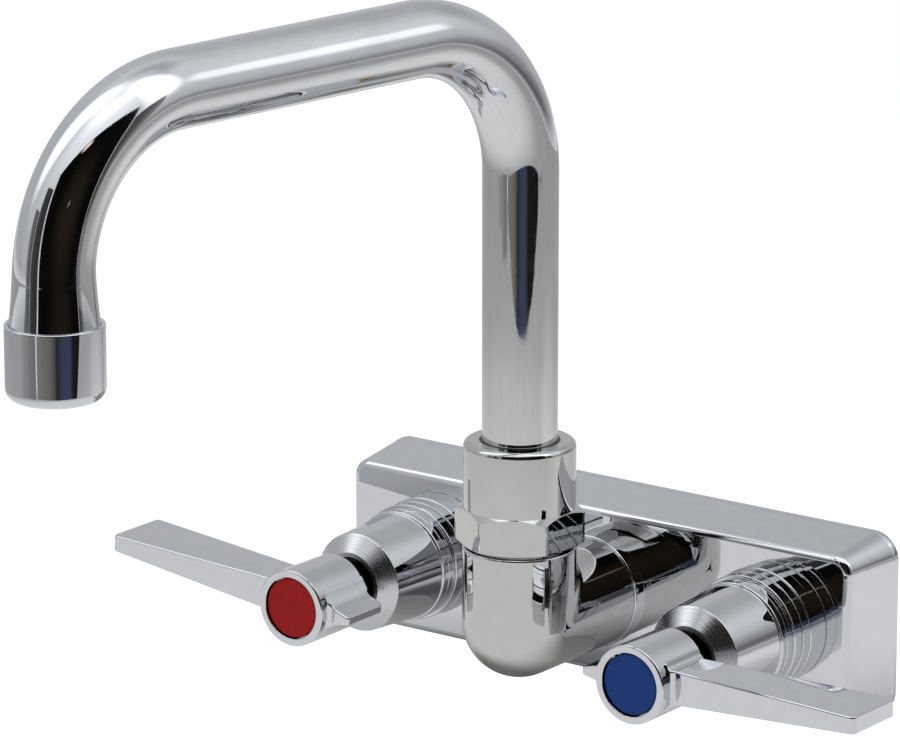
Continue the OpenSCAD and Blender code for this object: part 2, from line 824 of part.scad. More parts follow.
body_casting();
wall_gasket();
inlet_shank(-1);  // hot_inlet_shank
inlet_shank(1);  // cold_inlet_shank
shank_washers();
shank_lock_nuts();
bonnet_collar(-1);  // hot_bonnet_collar
bonnet_collar(1);  // cold_bonnet_collar
bonnet(-1);  // hot_bonnet
bonnet(1);  // cold_bonnet
cartridge(-1);  // hot_cartridge
cartridge(1);  // cold_cartridge
fixed_disc(-1);  // hot_fixed_disc
fixed_disc(1);  // cold_fixed_disc
seat_seal(-1);  // hot_seat_seal
seat_seal(1);  // cold_seat_seal
stem(-1);  // hot_stem
stem(1);  // cold_stem
stem_o_ring(-1);  // hot_stem_o_ring
stem_o_ring(1);  // cold_stem_o_ring
moving_disc(-1);  // hot_moving_disc
moving_disc(1);  // cold_moving_disc
handle(-1);  // hot_handle
handle(1);  // cold_handle
handle_screw(-1);  // hot_handle_screw
handle_screw(1);  // cold_handle_screw
index_button(-1);  // hot_index_button
index_button(1);  // cold_index_button
spout_elbow();
elbow_o_ring();
spout_nut();
spout_bushing();
spout_tube();
spout_end_fitting();
spout_retaining_ring();
spout_o_rings();
outlet_fitting();
aerator_housing();
aerator_washer();
aerator_insert();
aerator_screen();
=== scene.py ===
import bmesh
import bpy
import math
from mathutils import Matrix, Vector


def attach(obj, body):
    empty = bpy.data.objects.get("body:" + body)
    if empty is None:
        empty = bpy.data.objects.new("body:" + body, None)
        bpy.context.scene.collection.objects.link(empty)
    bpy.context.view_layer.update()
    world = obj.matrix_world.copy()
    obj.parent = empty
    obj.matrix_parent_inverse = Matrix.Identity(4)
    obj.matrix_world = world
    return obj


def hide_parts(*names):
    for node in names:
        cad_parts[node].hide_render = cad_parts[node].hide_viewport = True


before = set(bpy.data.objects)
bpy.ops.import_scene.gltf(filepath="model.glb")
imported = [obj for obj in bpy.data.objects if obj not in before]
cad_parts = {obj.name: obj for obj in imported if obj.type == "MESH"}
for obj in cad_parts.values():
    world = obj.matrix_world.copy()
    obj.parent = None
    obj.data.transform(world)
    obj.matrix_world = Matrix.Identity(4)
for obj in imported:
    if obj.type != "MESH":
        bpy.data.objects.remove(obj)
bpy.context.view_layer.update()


# Backplate: one hollow brass casting, polished and chromed, that carries both valves and the spout.
# Its sides lean in from a straight rim at the back, and every edge and corner is rounded over.
# Three low round bosses stand on its face; the shanks and their nuts pull it against the wall.
MM = 0.001  # sizes are in millimetres, and the frame is in metres


def linear(hex_colour):
    channels = [int(hex_colour[i:i + 2], 16) / 255 for i in (1, 3, 5)]
    return [c / 12.92 if c <= 0.04045 else ((c + 0.055) / 1.055) ** 2.4 for c in channels] + [1.0]


def add(tree, kind, inputs=None, stops=(), **settings):
    # a node with its settings, its values and links by socket, and the stops of its colour ramp;
    # where an input is given a node, it takes that node's first output
    node = tree.nodes.new(kind)
    for key, value in settings.items():
        setattr(node, key, value)
    for key, value in (inputs or {}).items():
        if isinstance(value, bpy.types.Node):
            value = value.outputs[0]
        if isinstance(value, bpy.types.NodeSocket):
            tree.links.new(value, node.inputs[key])
        else:
            node.inputs[key].default_value = value
    for k, (at, colour) in enumerate(stops):
        stop = node.color_ramp.elements[k] if k < 2 else node.color_ramp.elements.new(at)
        stop.position = at
        stop.color = colour
    return node


def new_surface(name):
    surface = bpy.data.materials.new(name)
    surface.use_nodes = True
    tree = surface.node_tree
    tree.nodes.clear()
    place = add(tree, "ShaderNodeTexCoord").outputs["Object"]
    return surface, tree, place


def per_mm(size):
    # a pattern's scale, in repeats to the metre, from its real size
    return 1000.0 / size


def quarter(steps):
    # the angles that divide a quarter turn into equal steps
    return [math.pi / 2 * k / steps for k in range(steps + 1)]


def circle(r, z, around):
    # a ring of points about the Z axis, with this radius and at this station
    return [(r * MM * math.cos(2 * math.pi * i / around),
             r * MM * math.sin(2 * math.pi * i / around), z * MM) for i in range(around)]


def moved(rings, x=0.0, y=0.0):
    return [[(px + x * MM, py + y * MM, pz) for px, py, pz in ring] for ring in rings]


def fill_rings(mesh, rings, capped=True):
    # the skin over a row of rings that all have as many points, with its two ends closed
    made = [[mesh.verts.new(point) for point in ring] for ring in rings]
    count = len(made[0])
    for k in range(len(made) - 1):
        for i in range(count):
            j = (i + 1) % count
            mesh.faces.new((made[k][i], made[k][j], made[k + 1][j], made[k + 1][i]))
    if capped:
        mesh.faces.new(made[0][::-1])
        mesh.faces.new(made[-1])


def finish_piece(name, mesh, surfaces, body, nodes, place=Matrix(), sharp=38):
    # the piece that rides a body in place of its CAD nodes; edges past the sharp angle stay crisp
    bmesh.ops.remove_doubles(mesh, verts=mesh.verts, dist=1e-7)
    bmesh.ops.recalc_face_normals(mesh, faces=mesh.faces)
    data = bpy.data.meshes.new(name)
    mesh.to_mesh(data)
    mesh.free()
    for face in data.polygons:
        face.use_smooth = True
    data.set_sharp_from_angle(angle=math.radians(sharp))
    piece = bpy.data.objects.new(name, data)
    bpy.context.scene.collection.objects.link(piece)
    for surface in surfaces:
        data.materials.append(surface)
    piece.matrix_world = place
    even = piece.modifiers.new("even_shading", "WEIGHTED_NORMAL")
    even.weight = 100
    even.keep_sharp = True
    bpy.context.view_layer.update()
    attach(piece, body)
    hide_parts(*nodes)


def round_corners(corners, steps):
    # corners are (radius, station, edge radius); the result is the same line with its edges rounded
    line = []
    for k, (r, z, edge) in enumerate(corners):
        here = Vector((r, z))
        if edge == 0 or k in (0, len(corners) - 1):
            line.append(here)
            continue
        back = (Vector(corners[k - 1][:2]) - here).normalized()
        ahead = (Vector(corners[k + 1][:2]) - here).normalized()
        half = back.angle(ahead) / 2
        reach = edge / math.tan(half)
        middle = here + (back + ahead).normalized() * edge / math.sin(half)
        first = here + back * reach - middle
        last = here + ahead * reach - middle
        turn = first.angle_signed(last)
        for s in range(steps + 1):
            a = -turn * s / steps
            spun = Vector((first.x * math.cos(a) - first.y * math.sin(a),
                           first.x * math.sin(a) + first.y * math.cos(a)))
            line.append(middle + spun)
    return line


def turn_rings(corners, around=128, steps=7):
    # the rings of a piece turned on a lathe, from the corners of its profile
    return [circle(r, z, around) for r, z in round_corners(corners, steps)]


def plate_ring(half_w, half_h, corner, out, steps=14):
    # the outline of a plate with round corners, at a distance out from the wall
    ring = []
    for k, (sx, sz) in enumerate(((1, 1), (-1, 1), (-1, -1), (1, -1))):
        for s in range(steps + 1):
            a = math.pi / 2 * (k + s / steps)
            ring.append(((sx * (half_w - corner) + corner * math.cos(a)) * MM,
                         (sz * (half_h - corner) + corner * math.sin(a)) * MM, out * MM))
    return ring


# Bright chrome over polished cast brass: a grey mirror with a faint haze,
# whose long, shallow waves are left by hand polishing and bend what it mirrors.
def polished_chrome(name, dark, light):
    surface, tree, place = new_surface(name)
    waves = add(tree, "ShaderNodeTexNoise", {"Vector": place, "Scale": per_mm(26), "Detail": 1.5})
    haze = add(tree, "ShaderNodeTexNoise", {"Vector": place, "Scale": per_mm(3.5), "Detail": 6.0})
    bump = add(tree, "ShaderNodeBump", {"Height": waves, "Strength": 0.22, "Distance": 0.4 * MM})
    tone = add(tree, "ShaderNodeValToRGB", {"Fac": haze}, [(0, linear(dark)), (1, linear(light))])
    gloss = add(tree, "ShaderNodeMapRange", {"Value": haze, "From Min": 0.3, "From Max": 0.75,
                                             "To Min": 0.0, "To Max": 0.035})
    shine = add(tree, "ShaderNodeBsdfPrincipled", {"Base Color": tone, "Metallic": 1.0,
                                                   "Roughness": gloss, "Normal": bump})
    add(tree, "ShaderNodeOutputMaterial", {"Surface": shine})
    return surface


cast_chrome = polished_chrome("bright_chrome_on_polished_casting", "#c6c8cc", "#d2d3d6")

WALL_FRAME = Matrix.Rotation(math.pi / 2, 4, "X")  # its Z axis comes straight out of the wall
PLATE_W, PLATE_H, PLATE_CORNER = 77.4, 23.5, 6.8  # half width, half height, radius of the corners
PLATE_BACK, RIM_FRONT, PLATE_FRONT, BOSS_FRONT = 0.8, 2.6, 20.0, 22.0  # stations out from the wall
EDGE, EDGE_STEPS, BACK_EDGE = 2.0, 12, 0.4  # radius and facets of the front edge, radius of the back edge
RECESS, RECESS_DEEP = 2.5, 0.85  # width of the rim beside the gasket, and the gasket's recess
LEAN, RIM_LEAN = 2.25, 0.25  # how far the sides have come in at the front, and in front of the rim
RIM_BEND = ((0.0, -0.5), (0.02, -0.25), (0.08, 0.0), (0.16, 0.25), (0.22, 0.5))  # the rim's soft line
VALVE_X, VALVE_BOSS_R, SPOUT_BOSS_R = 50.8, 15.2, 14.4
BOSS_BORE, BOSS_ROOT, BOSS_EDGE = 9, 17, 0.35
lean_angle = math.atan((LEAN - RIM_LEAN) / (PLATE_FRONT - RIM_FRONT))
edge_inset = LEAN + EDGE * (1 / math.cos(lean_angle) - math.tan(lean_angle))
outline = [(RECESS, PLATE_BACK + RECESS_DEEP), (RECESS, PLATE_BACK)]
for a in quarter(4):
    outline.append((BACK_EDGE - BACK_EDGE * math.sin(a), PLATE_BACK + BACK_EDGE - BACK_EDGE * math.cos(a)))
outline += [(inset, RIM_FRONT + off) for inset, off in RIM_BEND]
for s in range(EDGE_STEPS + 1):
    a = lean_angle + (math.pi / 2 - lean_angle) * s / EDGE_STEPS
    outline.append((edge_inset - EDGE * math.cos(a), PLATE_FRONT - EDGE + EDGE * math.sin(a)))
mesh = bmesh.new()
fill_rings(mesh, [plate_ring(PLATE_W - inset, PLATE_H - inset, PLATE_CORNER - inset, out)
                  for inset, out in outline])
for x, r in ((-VALVE_X, VALVE_BOSS_R), (0, SPOUT_BOSS_R), (VALVE_X, VALVE_BOSS_R)):
    boss = turn_rings([(BOSS_BORE, BOSS_ROOT, 0), (r, BOSS_ROOT, 0),
                       (r, BOSS_FRONT, BOSS_EDGE), (BOSS_BORE, BOSS_FRONT, 0)])
    fill_rings(mesh, moved(boss, x))
finish_piece("backplate", mesh, [cast_chrome], "faucet_body", ["body_casting"], WALL_FRAME)


# Wall gasket: a flat sheet of black nitrile rubber that sits in the back of the casting.
# It is cut from sheet and squeezed by the lock nuts; the seals and O-rings are of the same rubber.
def dress(names, surface):
    # gives CAD nodes whose shape is right their real material
    for name in names:
        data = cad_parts[name].data
        data.materials.clear()
        data.materials.append(surface)


# Nitrile rubber cut from sheet: nearly black, dull and faintly pitted, so that it spreads its highlights.
nitrile, tree, place = new_surface("cut_nitrile_rubber_sheet")
pits = add(tree, "ShaderNodeTexNoise", {"Vector": place, "Scale": per_mm(1.2), "Detail": 5.0})
bump = add(tree, "ShaderNodeBump", {"Height": pits, "Strength": 0.35, "Distance": 0.2 * MM})
tone = add(tree, "ShaderNodeValToRGB", {"Fac": pits}, [(0, linear("#1c1c1e")), (1, linear("#2d2d2f"))])
matt = add(tree, "ShaderNodeBsdfPrincipled", {"Base Color": tone, "Roughness": 0.72, "Normal": bump})
add(tree, "ShaderNodeOutputMaterial", {"Surface": matt})
dress(["wall_gasket", "hot_seat_seal", "cold_seat_seal", "hot_stem_o_ring", "cold_stem_o_ring",
       "elbow_o_ring", "spout_o_rings", "aerator_washer"], nitrile)


# Inlet shanks: threaded brass tails that pass through the wall and take the water.
# The thread is cut along the whole tail; the supply couplings screw on to its end.

# Machined brass: yellow metal with a soft shine, fine tool marks and a little stain.
turned_brass, tree, place = new_surface("machined_brass")
stain = add(tree, "ShaderNodeTexNoise", {"Vector": place, "Scale": per_mm(6), "Detail": 5.0})
cuts = add(tree, "ShaderNodeTexNoise", {"Vector": place, "Scale": per_mm(0.7), "Detail": 2.0})
bump = add(tree, "ShaderNodeBump", {"Height": cuts, "Strength": 0.12, "Distance": 0.1 * MM})
tone = add(tree, "ShaderNodeValToRGB", {"Fac": stain}, [(0, linear("#a8843c")), (1, linear("#cfae62"))])
gloss = add(tree, "ShaderNodeMapRange", {"Value": stain, "To Min": 0.2, "To Max": 0.38})
shine = add(tree, "ShaderNodeBsdfPrincipled", {"Base Color": tone, "Metallic": 1.0,
                                               "Roughness": gloss, "Normal": bump})
add(tree, "ShaderNodeOutputMaterial", {"Surface": shine})

VALVE_FRAMES = {"hot": Matrix.Translation((-VALVE_X * MM, 0, 0)) @ WALL_FRAME,
                "cold": Matrix.Translation((VALVE_X * MM, 0, 0)) @ WALL_FRAME}
SHANK_R, SHANK_BORE, SHANK_ROOT, SHANK_END = 10.45, 6.5, 7.5, 20.0
PITCH, THREAD_DEEP, PLAIN_DEEP = 1.8, 0.95, 0.9
THREAD_START, THREAD_LEN = 0.4, SHANK_END - 1.6
GROOVE_STEEP = 1.18  # above 1, so that the bottom of the groove is flat
START_FADE, END_FADE, END_PLAIN = 2.5, 2.0, 0.8  # where the thread runs out at either end
END_CHAMFER, END_STEP, BORE_CHAMFER = 1.6, 0.7, 0.6
SHANK_AROUND, ROWS_PER_TURN = 72, 8
for side in ("hot", "cold"):
    rings = [circle(r, z, SHANK_AROUND) for r, z in (
        (SHANK_BORE, SHANK_ROOT), (SHANK_R - PLAIN_DEEP, SHANK_ROOT), (SHANK_R - PLAIN_DEEP, 0.0))]
    rows = int(THREAD_LEN / PITCH * ROWS_PER_TURN)
    for k in range(rows + 1):
        z = -THREAD_START - THREAD_LEN * k / rows
        full = max(min(1.0, -z / START_FADE, (SHANK_END - END_PLAIN + z) / END_FADE), 0.0)
        ring = []
        for i in range(SHANK_AROUND):
            turn = (z / PITCH + i / SHANK_AROUND) % 1.0
            groove = THREAD_DEEP * min(1.0, abs(2 * turn - 1) * GROOVE_STEEP)
            r = SHANK_R - (groove * full + PLAIN_DEEP * (1 - full))
            a = 2 * math.pi * i / SHANK_AROUND
            ring.append((r * MM * math.cos(a), r * MM * math.sin(a), z * MM))
        rings.append(ring)
    rings += [circle(r, z, SHANK_AROUND) for r, z in (
        (SHANK_R - THREAD_DEEP, -SHANK_END + END_STEP), (SHANK_R - END_CHAMFER, -SHANK_END),
        (SHANK_BORE + BORE_CHAMFER, -SHANK_END), (SHANK_BORE, -SHANK_END + BORE_CHAMFER),
        (SHANK_BORE, SHANK_ROOT))]
    mesh = bmesh.new()
    fill_rings(mesh, rings, capped=False)
    finish_piece(side + "_threaded_shank", mesh, [turned_brass], "faucet_body",
                 [side + "_inlet_shank"], VALVE_FRAMES[side], sharp=50)


# Washers and lock nuts: plated steel washers and hexagon brass nuts that clamp the plate to the wall.
# The nuts are bored and chamfered on both faces, and screw on to the shanks.

# Zinc plated steel: a pale grey metal, half dull, with the fine crystal spangle of the plating.
zinc, tree, place = new_surface("zinc_plated_steel")
spangle = add(tree, "ShaderNodeTexVoronoi", {"Vector": place, "Scale": per_mm(1.6)}, feature="F1")
level = add(tree, "ShaderNodeRGBToBW", {"Color": spangle.outputs["Color"]})
tone = add(tree, "ShaderNodeValToRGB", {"Fac": level}, [(0, linear("#9b9ea3")), (1, linear("#b6b8bb"))])
gloss = add(tree, "ShaderNodeMapRange", {"Value": level, "To Min": 0.28, "To Max": 0.42})
shine = add(tree, "ShaderNodeBsdfPrincipled", {"Base Color": tone, "Metallic": 1.0, "Roughness": gloss})
add(tree, "ShaderNodeOutputMaterial", {"Surface": shine})
dress(["shank_washers", "hot_handle_screw", "cold_handle_screw", "aerator_screen"], zinc)

HEX_AROUND = 180


def hexagon_rings(flats, low, high, bevel_low, bevel_high, turn):
    # rings of a hexagon whose corners are cut back by a cone at each end
    end_inset, corner_cut, end_edge = 0.15, 0.12, 0.12
    half = flats / 2
    corner = half / math.cos(math.pi / 6)
    rings = [[], [], [], []]
    for i in range(HEX_AROUND):
        a = 2 * math.pi * i / HEX_AROUND
        off = (a % (math.pi / 3)) - math.pi / 6
        side = min(half / math.cos(off), corner - corner_cut)
        cut = (side - half) / (corner - half)
        spin = a + math.radians(turn)
        for ring, r, z in zip(rings, (half - end_inset, side, side, half - end_inset),
                              (low, low + bevel_low * cut + end_edge, high - bevel_high * cut - end_edge, high)):
            ring.append((r * MM * math.cos(spin), r * MM * math.sin(spin), z * MM))
    return rings


LOCK_FLATS, LOCK_BACK, LOCK_FRONT, LOCK_BEVEL = 28.6, -9.5, -4.0, 1.2
LOCK_BORE, LOCK_MOUTH, MOUTH_DEEP = 10.55, 11.2, 0.7
mesh = bmesh.new()
for x in (-VALVE_X, VALVE_X):
    nut = hexagon_rings(LOCK_FLATS, LOCK_BACK, LOCK_FRONT, LOCK_BEVEL, LOCK_BEVEL, 0)
    bore = [circle(r, z, HEX_AROUND) for r, z in (
        (LOCK_MOUTH, LOCK_FRONT), (LOCK_BORE, LOCK_FRONT - MOUTH_DEEP),
        (LOCK_BORE, LOCK_BACK + MOUTH_DEEP), (LOCK_MOUTH, LOCK_BACK))]
    fill_rings(mesh, moved(nut + bore + [nut[0]], x), capped=False)
finish_piece("lock_nuts", mesh, [turned_brass], "faucet_body", ["shank_lock_nuts"], WALL_FRAME, sharp=25)


# Valve collars and bonnets: brass turned on a lathe, polished and chromed.
# Each bonnet screws down over its cartridge; its bevelled nose keeps fine turning lines.

# Bright chrome over polished turned brass: a clear grey mirror with hardly any haze.
turned_chrome, tree, place = new_surface("bright_chrome_on_turned_brass")
haze = add(tree, "ShaderNodeTexNoise", {"Vector": place, "Scale": per_mm(4), "Detail": 6.0})
tone = add(tree, "ShaderNodeValToRGB", {"Fac": haze}, [(0, linear("#c8cace")), (1, linear("#d3d4d7"))])
gloss = add(tree, "ShaderNodeMapRange", {"Value": haze, "From Min": 0.3, "From Max": 0.75,
                                         "To Min": 0.0, "To Max": 0.02})
shine = add(tree, "ShaderNodeBsdfPrincipled", {"Base Color": tone, "Metallic": 1.0, "Roughness": gloss})
add(tree, "ShaderNodeOutputMaterial", {"Surface": shine})

# Chrome over a turned face left unpolished: rings of fine lines that draw each light out into a fan.
# The real lines are about 0.1 mm apart; they are drawn coarser here so that they show.
nose_chrome, tree, place = new_surface("chrome_over_lathe_turning_lines")
flat = add(tree, "ShaderNodeVectorMath", {0: place, 1: (1, 1, 0)}, operation="MULTIPLY")
radius = add(tree, "ShaderNodeVectorMath", {0: flat}, operation="LENGTH").outputs["Value"]
line = add(tree, "ShaderNodeTexNoise", {"W": radius, "Scale": per_mm(0.35), "Detail": 3.0}, noise_dimensions="1D")
bump = add(tree, "ShaderNodeBump", {"Height": line, "Strength": 0.5, "Distance": 0.06 * MM})
swirl = add(tree, "ShaderNodeTangent", direction_type="RADIAL", axis="Z")
gloss = add(tree, "ShaderNodeMapRange", {"Value": line, "To Min": 0.12, "To Max": 0.24})
shine = add(tree, "ShaderNodeBsdfPrincipled", {"Base Color": linear("#c4c5c8"), "Metallic": 1.0, "Roughness": gloss,
                                               "Anisotropic": 0.75, "Tangent": swirl, "Normal": bump})
add(tree, "ShaderNodeOutputMaterial", {"Surface": shine})

COLLAR_R, COLLAR_BORE, COLLAR_FRONT, COLLAR_EDGE = 14.9, 11.2, 28.5, 0.3
GROOVE_R, GROOVE_BACK, GROOVE_FRONT, GROOVE_SIDE = 14.3, 25.05, 25.45, 0.2
BONNET_R, BONNET_BORE, BONNET_STOP, SHOULDER = 14.2, 9.9, 47.0, 33.0
LINE_R, LINE_MIDDLE, LINE_HALF = 13.95, 30.85, 0.15
SLEEVE_BASE, SLEEVE_R, NOSE_EDGE, NOSE_TIP, NOSE_R, NOSE_BORE = 13.6, 12.6, 50.0, 53.0, 8.3, 7.1
for side in ("hot", "cold"):
    mesh = bmesh.new()
    collar = turn_rings([
        (COLLAR_BORE, BOSS_FRONT, 0), (COLLAR_R, BOSS_FRONT, COLLAR_EDGE),
        (COLLAR_R, GROOVE_BACK - GROOVE_SIDE, 0.15), (GROOVE_R, GROOVE_BACK, 0),
        (GROOVE_R, GROOVE_FRONT, 0), (COLLAR_R, GROOVE_FRONT + GROOVE_SIDE, 0.15),
        (COLLAR_R, COLLAR_FRONT, COLLAR_EDGE), (COLLAR_BORE, COLLAR_FRONT, 0), (COLLAR_BORE, BOSS_FRONT, 0)])
    fill_rings(mesh, collar, capped=False)
    finish_piece(side + "_valve_collar", mesh, [turned_chrome], "faucet_body",
                 [side + "_bonnet_collar"], VALVE_FRAMES[side])
    mesh = bmesh.new()
    bonnet = turn_rings([
        (BONNET_BORE, COLLAR_FRONT, 0), (BONNET_R, COLLAR_FRONT, 0.25), (BONNET_R, LINE_MIDDLE - LINE_HALF, 0.1),
        (LINE_R, LINE_MIDDLE, 0), (BONNET_R, LINE_MIDDLE + LINE_HALF, 0.1), (BONNET_R, SHOULDER, 0.4),
        (SLEEVE_BASE, SHOULDER, 0.2), (SLEEVE_R, NOSE_EDGE, 0.25), (NOSE_R, NOSE_TIP, 0.15),
        (NOSE_BORE, NOSE_TIP, 0.2), (NOSE_BORE, BONNET_STOP, 0), (BONNET_BORE, BONNET_STOP, 0),
        (BONNET_BORE, COLLAR_FRONT, 0)])
    fill_rings(mesh, bonnet, capped=False)
    for face in mesh.faces:
        middle = face.calc_center_median()
        on_nose = middle.z > (NOSE_EDGE + 0.1) * MM and middle.xy.length > (NOSE_BORE + 0.1) * MM
        face.material_index = 1 if on_nose else 0
    finish_piece(side + "_valve_bonnet", mesh, [turned_chrome, nose_chrome], "faucet_body",
                 [side + "_bonnet"], VALVE_FRAMES[side])


# Cartridges: brass shells with a pair of lapped ceramic discs, hidden inside the casting and the bonnets.
# The stem of each one turns the upper disc and carries the handle on its square end.

# Lapped alumina: an ivory ceramic with a fine grain and an even, silky shine.
alumina, tree, place = new_surface("lapped_alumina_ceramic")
grain = add(tree, "ShaderNodeTexNoise", {"Vector": place, "Scale": per_mm(0.8), "Detail": 4.0})
tone = add(tree, "ShaderNodeValToRGB", {"Fac": grain}, [(0, linear("#e4dfd4")), (1, linear("#efebe2"))])
shine = add(tree, "ShaderNodeBsdfPrincipled", {"Base Color": tone, "Roughness": 0.22, "IOR": 1.76})
add(tree, "ShaderNodeOutputMaterial", {"Surface": shine})
dress(["hot_fixed_disc", "cold_fixed_disc", "hot_moving_disc", "cold_moving_disc"], alumina)
dress(["spout_end_fitting", "spout_retaining_ring"], turned_brass)

# Greased brass of the stems and shells, made dark as painted shade for the deep gap between each hub and its
# bonnet's nose: a dark metal with a patchy, wet looking film.
greased_gap_shade_metal, tree, place = new_surface("greased_metal_dark_as_painted_gap_shade")
film = add(tree, "ShaderNodeTexNoise", {"Vector": place, "Scale": per_mm(2.5), "Detail": 4.0})
tone = add(tree, "ShaderNodeValToRGB", {"Fac": film}, [(0, linear("#2a2926")), (1, linear("#45423a"))])
gloss = add(tree, "ShaderNodeMapRange", {"Value": film, "To Min": 0.25, "To Max": 0.5})
shine = add(tree, "ShaderNodeBsdfPrincipled", {"Base Color": tone, "Metallic": 1.0, "Roughness": gloss})
add(tree, "ShaderNodeOutputMaterial", {"Surface": shine})
dress(["hot_stem", "cold_stem", "hot_cartridge", "cold_cartridge"], greased_gap_shade_metal)


# Lever handles: die cast hubs with a tapering lever and a short tail, polished and chromed.
# Each slips over the square of its stem and is held by a screw under the coloured button.
HUB_BACK, HUB_FACE, HUB_R, HUB_BACK_R, HUB_FACE_R = 59.0, 77.5, 9.7, 9.6, 9.75
HUB_BORE, BUTTON_SEAT_R, BUTTON_SEAT = 3.6, 7.85, 75.0
LEVER_LEN, LEVER_FRONT, LEVER_ROOT, LEVER_TIP = 60.4, 73.5, 61.1, 55.5
LEVER_THICK, TIP_THICK, TIP_ROUND = 4.7, 2.15, 1.4  # half thicknesses at the hub and at the tip
TAIL_LEN, TAIL_FRONT, TAIL_BACK, TAIL_FRONT_ROUND, TAIL_BACK_ROUND = 15.8, 74.6, 59.8, 0.7, 2.2
END_ROUND, HUB_FILLET, LEVER_EDGE = 0.35, 0.9, 0.5
ROOT_FLARE, ROOT_IN = 1.6, 1.1  # size of the swelling at the lever's root, and how far it lies inside the hub
TAIL_THICK, TAIL_SLOPE, TAIL_RISE = 0.95, 0.24, 8.0  # half thickness at the end, and its rise towards the hub
HOLLOW, HOLLOW_FROM = 0.178, 3.8  # how fast the tail's flanks curve up, and from where
REST_TURN = {"hot": -4.9, "cold": 0.6}  # how the levers stood in the photograph


def flare(gap, size):
    # how far a hollow fillet of this size has risen at a gap from the hub
    left = min(max(1 - gap / size, 0.0), 1.0)
    return size - size * math.sqrt(1 - left * left)


def worn_in(end, size):
    # how far a rounded corner of this size has drawn in at a distance from the end
    return size - math.sqrt(max(size * size - max(size - end, 0) ** 2, 0))


def lever_section(x):
    # the rounded outline of the lever or tail at x from the hub's axis, as (up, out)
    out = abs(x) - HUB_R
    if x > 0:
        end = LEVER_LEN - x
        top = LEVER_THICK + (TIP_THICK - LEVER_THICK) * x / LEVER_LEN + flare(out + ROOT_IN, ROOT_FLARE)
        front = LEVER_FRONT - worn_in(end, TIP_ROUND)
        lean = (LEVER_TIP - LEVER_ROOT) * max(out, 0) / (LEVER_LEN - HUB_R)
        rear = LEVER_ROOT + lean + worn_in(end, TIP_ROUND)
    else:
        end = TAIL_LEN + x
        left = min(end, TAIL_RISE)
        top = TAIL_THICK + TAIL_SLOPE * left + HOLLOW * max(left - HOLLOW_FROM, 0) ** 2
        front = TAIL_FRONT - worn_in(end, TAIL_FRONT_ROUND)
        rear = TAIL_BACK + worn_in(end, TAIL_BACK_ROUND)
    top -= worn_in(end, END_ROUND)
    front += flare(out, HUB_FILLET)
    rear -= flare(out, HUB_FILLET)
    edge = min(LEVER_EDGE, 0.7 * top)  # a thin end keeps a flat between its edges
    ring = []
    for k, (up, away) in enumerate(((top - edge, front - edge), (top - edge, rear + edge),
                                    (edge - top, rear + edge), (edge - top, front - edge))):
        for s in range(5):
            a = math.pi / 2 * (k + s / 4)
            ring.append((up + edge * math.sin(a), away + edge * math.cos(a)))
    return ring


# places along the lever and tail, closer together at their ends and where they meet the hub
stations = [LEVER_LEN - TIP_ROUND * (1 - math.cos(a)) for a in quarter(8)] + [48, 36, 24, 15]
stations += [12.5 - 0.4 * k for k in range(11)] + [4, 0, -4.8] + [-7.6 - 0.4 * k for k in range(18)]
stations += [-TAIL_LEN + TAIL_FRONT_ROUND * (1 - math.sin(a)) for a in quarter(8)]
for side in ("hot", "cold"):
    flip = -1 if side == "hot" else 1
    turn = Matrix.Rotation(math.radians(REST_TURN[side]), 4, "Z")
    mesh = bmesh.new()
    hub = turn_rings([(HUB_BORE, HUB_BACK, 0), (HUB_BACK_R, HUB_BACK, 0.7), (HUB_FACE_R, HUB_FACE, 0.45),
                      (BUTTON_SEAT_R, HUB_FACE, 0.2), (BUTTON_SEAT_R, BUTTON_SEAT, 0),
                      (HUB_BORE, BUTTON_SEAT, 0), (HUB_BORE, HUB_BACK, 0)])
    fill_rings(mesh, hub, capped=False)
    fill_rings(mesh, [[(flip * x * MM, up * MM, out * MM) for up, out in lever_section(x)] for x in stations])
    finish_piece(side + "_lever_handle", mesh, [cast_chrome], side + "_lever", [side + "_handle"],
                 VALVE_FRAMES[side] @ turn, sharp=30)


# Index buttons: moulded plastic discs, red for hot and blue for cold, pressed into the face of each hub.
# The face is smooth with a low gloss, and its rim is rounded.
BUTTON_R, BUTTON_BACK, BUTTON_RIM, BUTTON_FACE = 7.62, 75.2, 77.0, 77.05
CENTRE_R = 0.05  # a disc's middle is closed by a tiny ring
for side, dye, dark, light in (("hot", "red", "#760a0c", "#810c0e"), ("cold", "blue", "#0e2a5f", "#102e67")):
    # Moulded polystyrene: one deep, even colour under a satin skin with little mirror in it.
    moulded, tree, place = new_surface("moulded_%s_polystyrene" % dye)
    cloud = add(tree, "ShaderNodeTexNoise", {"Vector": place, "Scale": per_mm(5), "Detail": 3.0})
    skin = add(tree, "ShaderNodeTexNoise", {"Vector": place, "Scale": per_mm(0.5), "Detail": 2.0})
    bump = add(tree, "ShaderNodeBump", {"Height": skin, "Strength": 0.08, "Distance": 0.05 * MM})
    tone = add(tree, "ShaderNodeValToRGB", {"Fac": cloud}, [(0, linear(dark)), (1, linear(light))])
    shine = add(tree, "ShaderNodeBsdfPrincipled", {"Base Color": tone, "Roughness": 0.34, "IOR": 1.5,
                                                   "Specular IOR Level": 0.1, "Normal": bump})
    add(tree, "ShaderNodeOutputMaterial", {"Surface": shine})
    mesh = bmesh.new()
    fill_rings(mesh, turn_rings([(CENTRE_R, BUTTON_BACK, 0), (BUTTON_R, BUTTON_BACK, 0.1),
                                 (BUTTON_R, BUTTON_RIM, 0.45), (CENTRE_R, BUTTON_FACE, 0)]))
    finish_piece(side + "_button", mesh, [moulded], side + "_lever", [side + "_index_button"], VALVE_FRAMES[side])


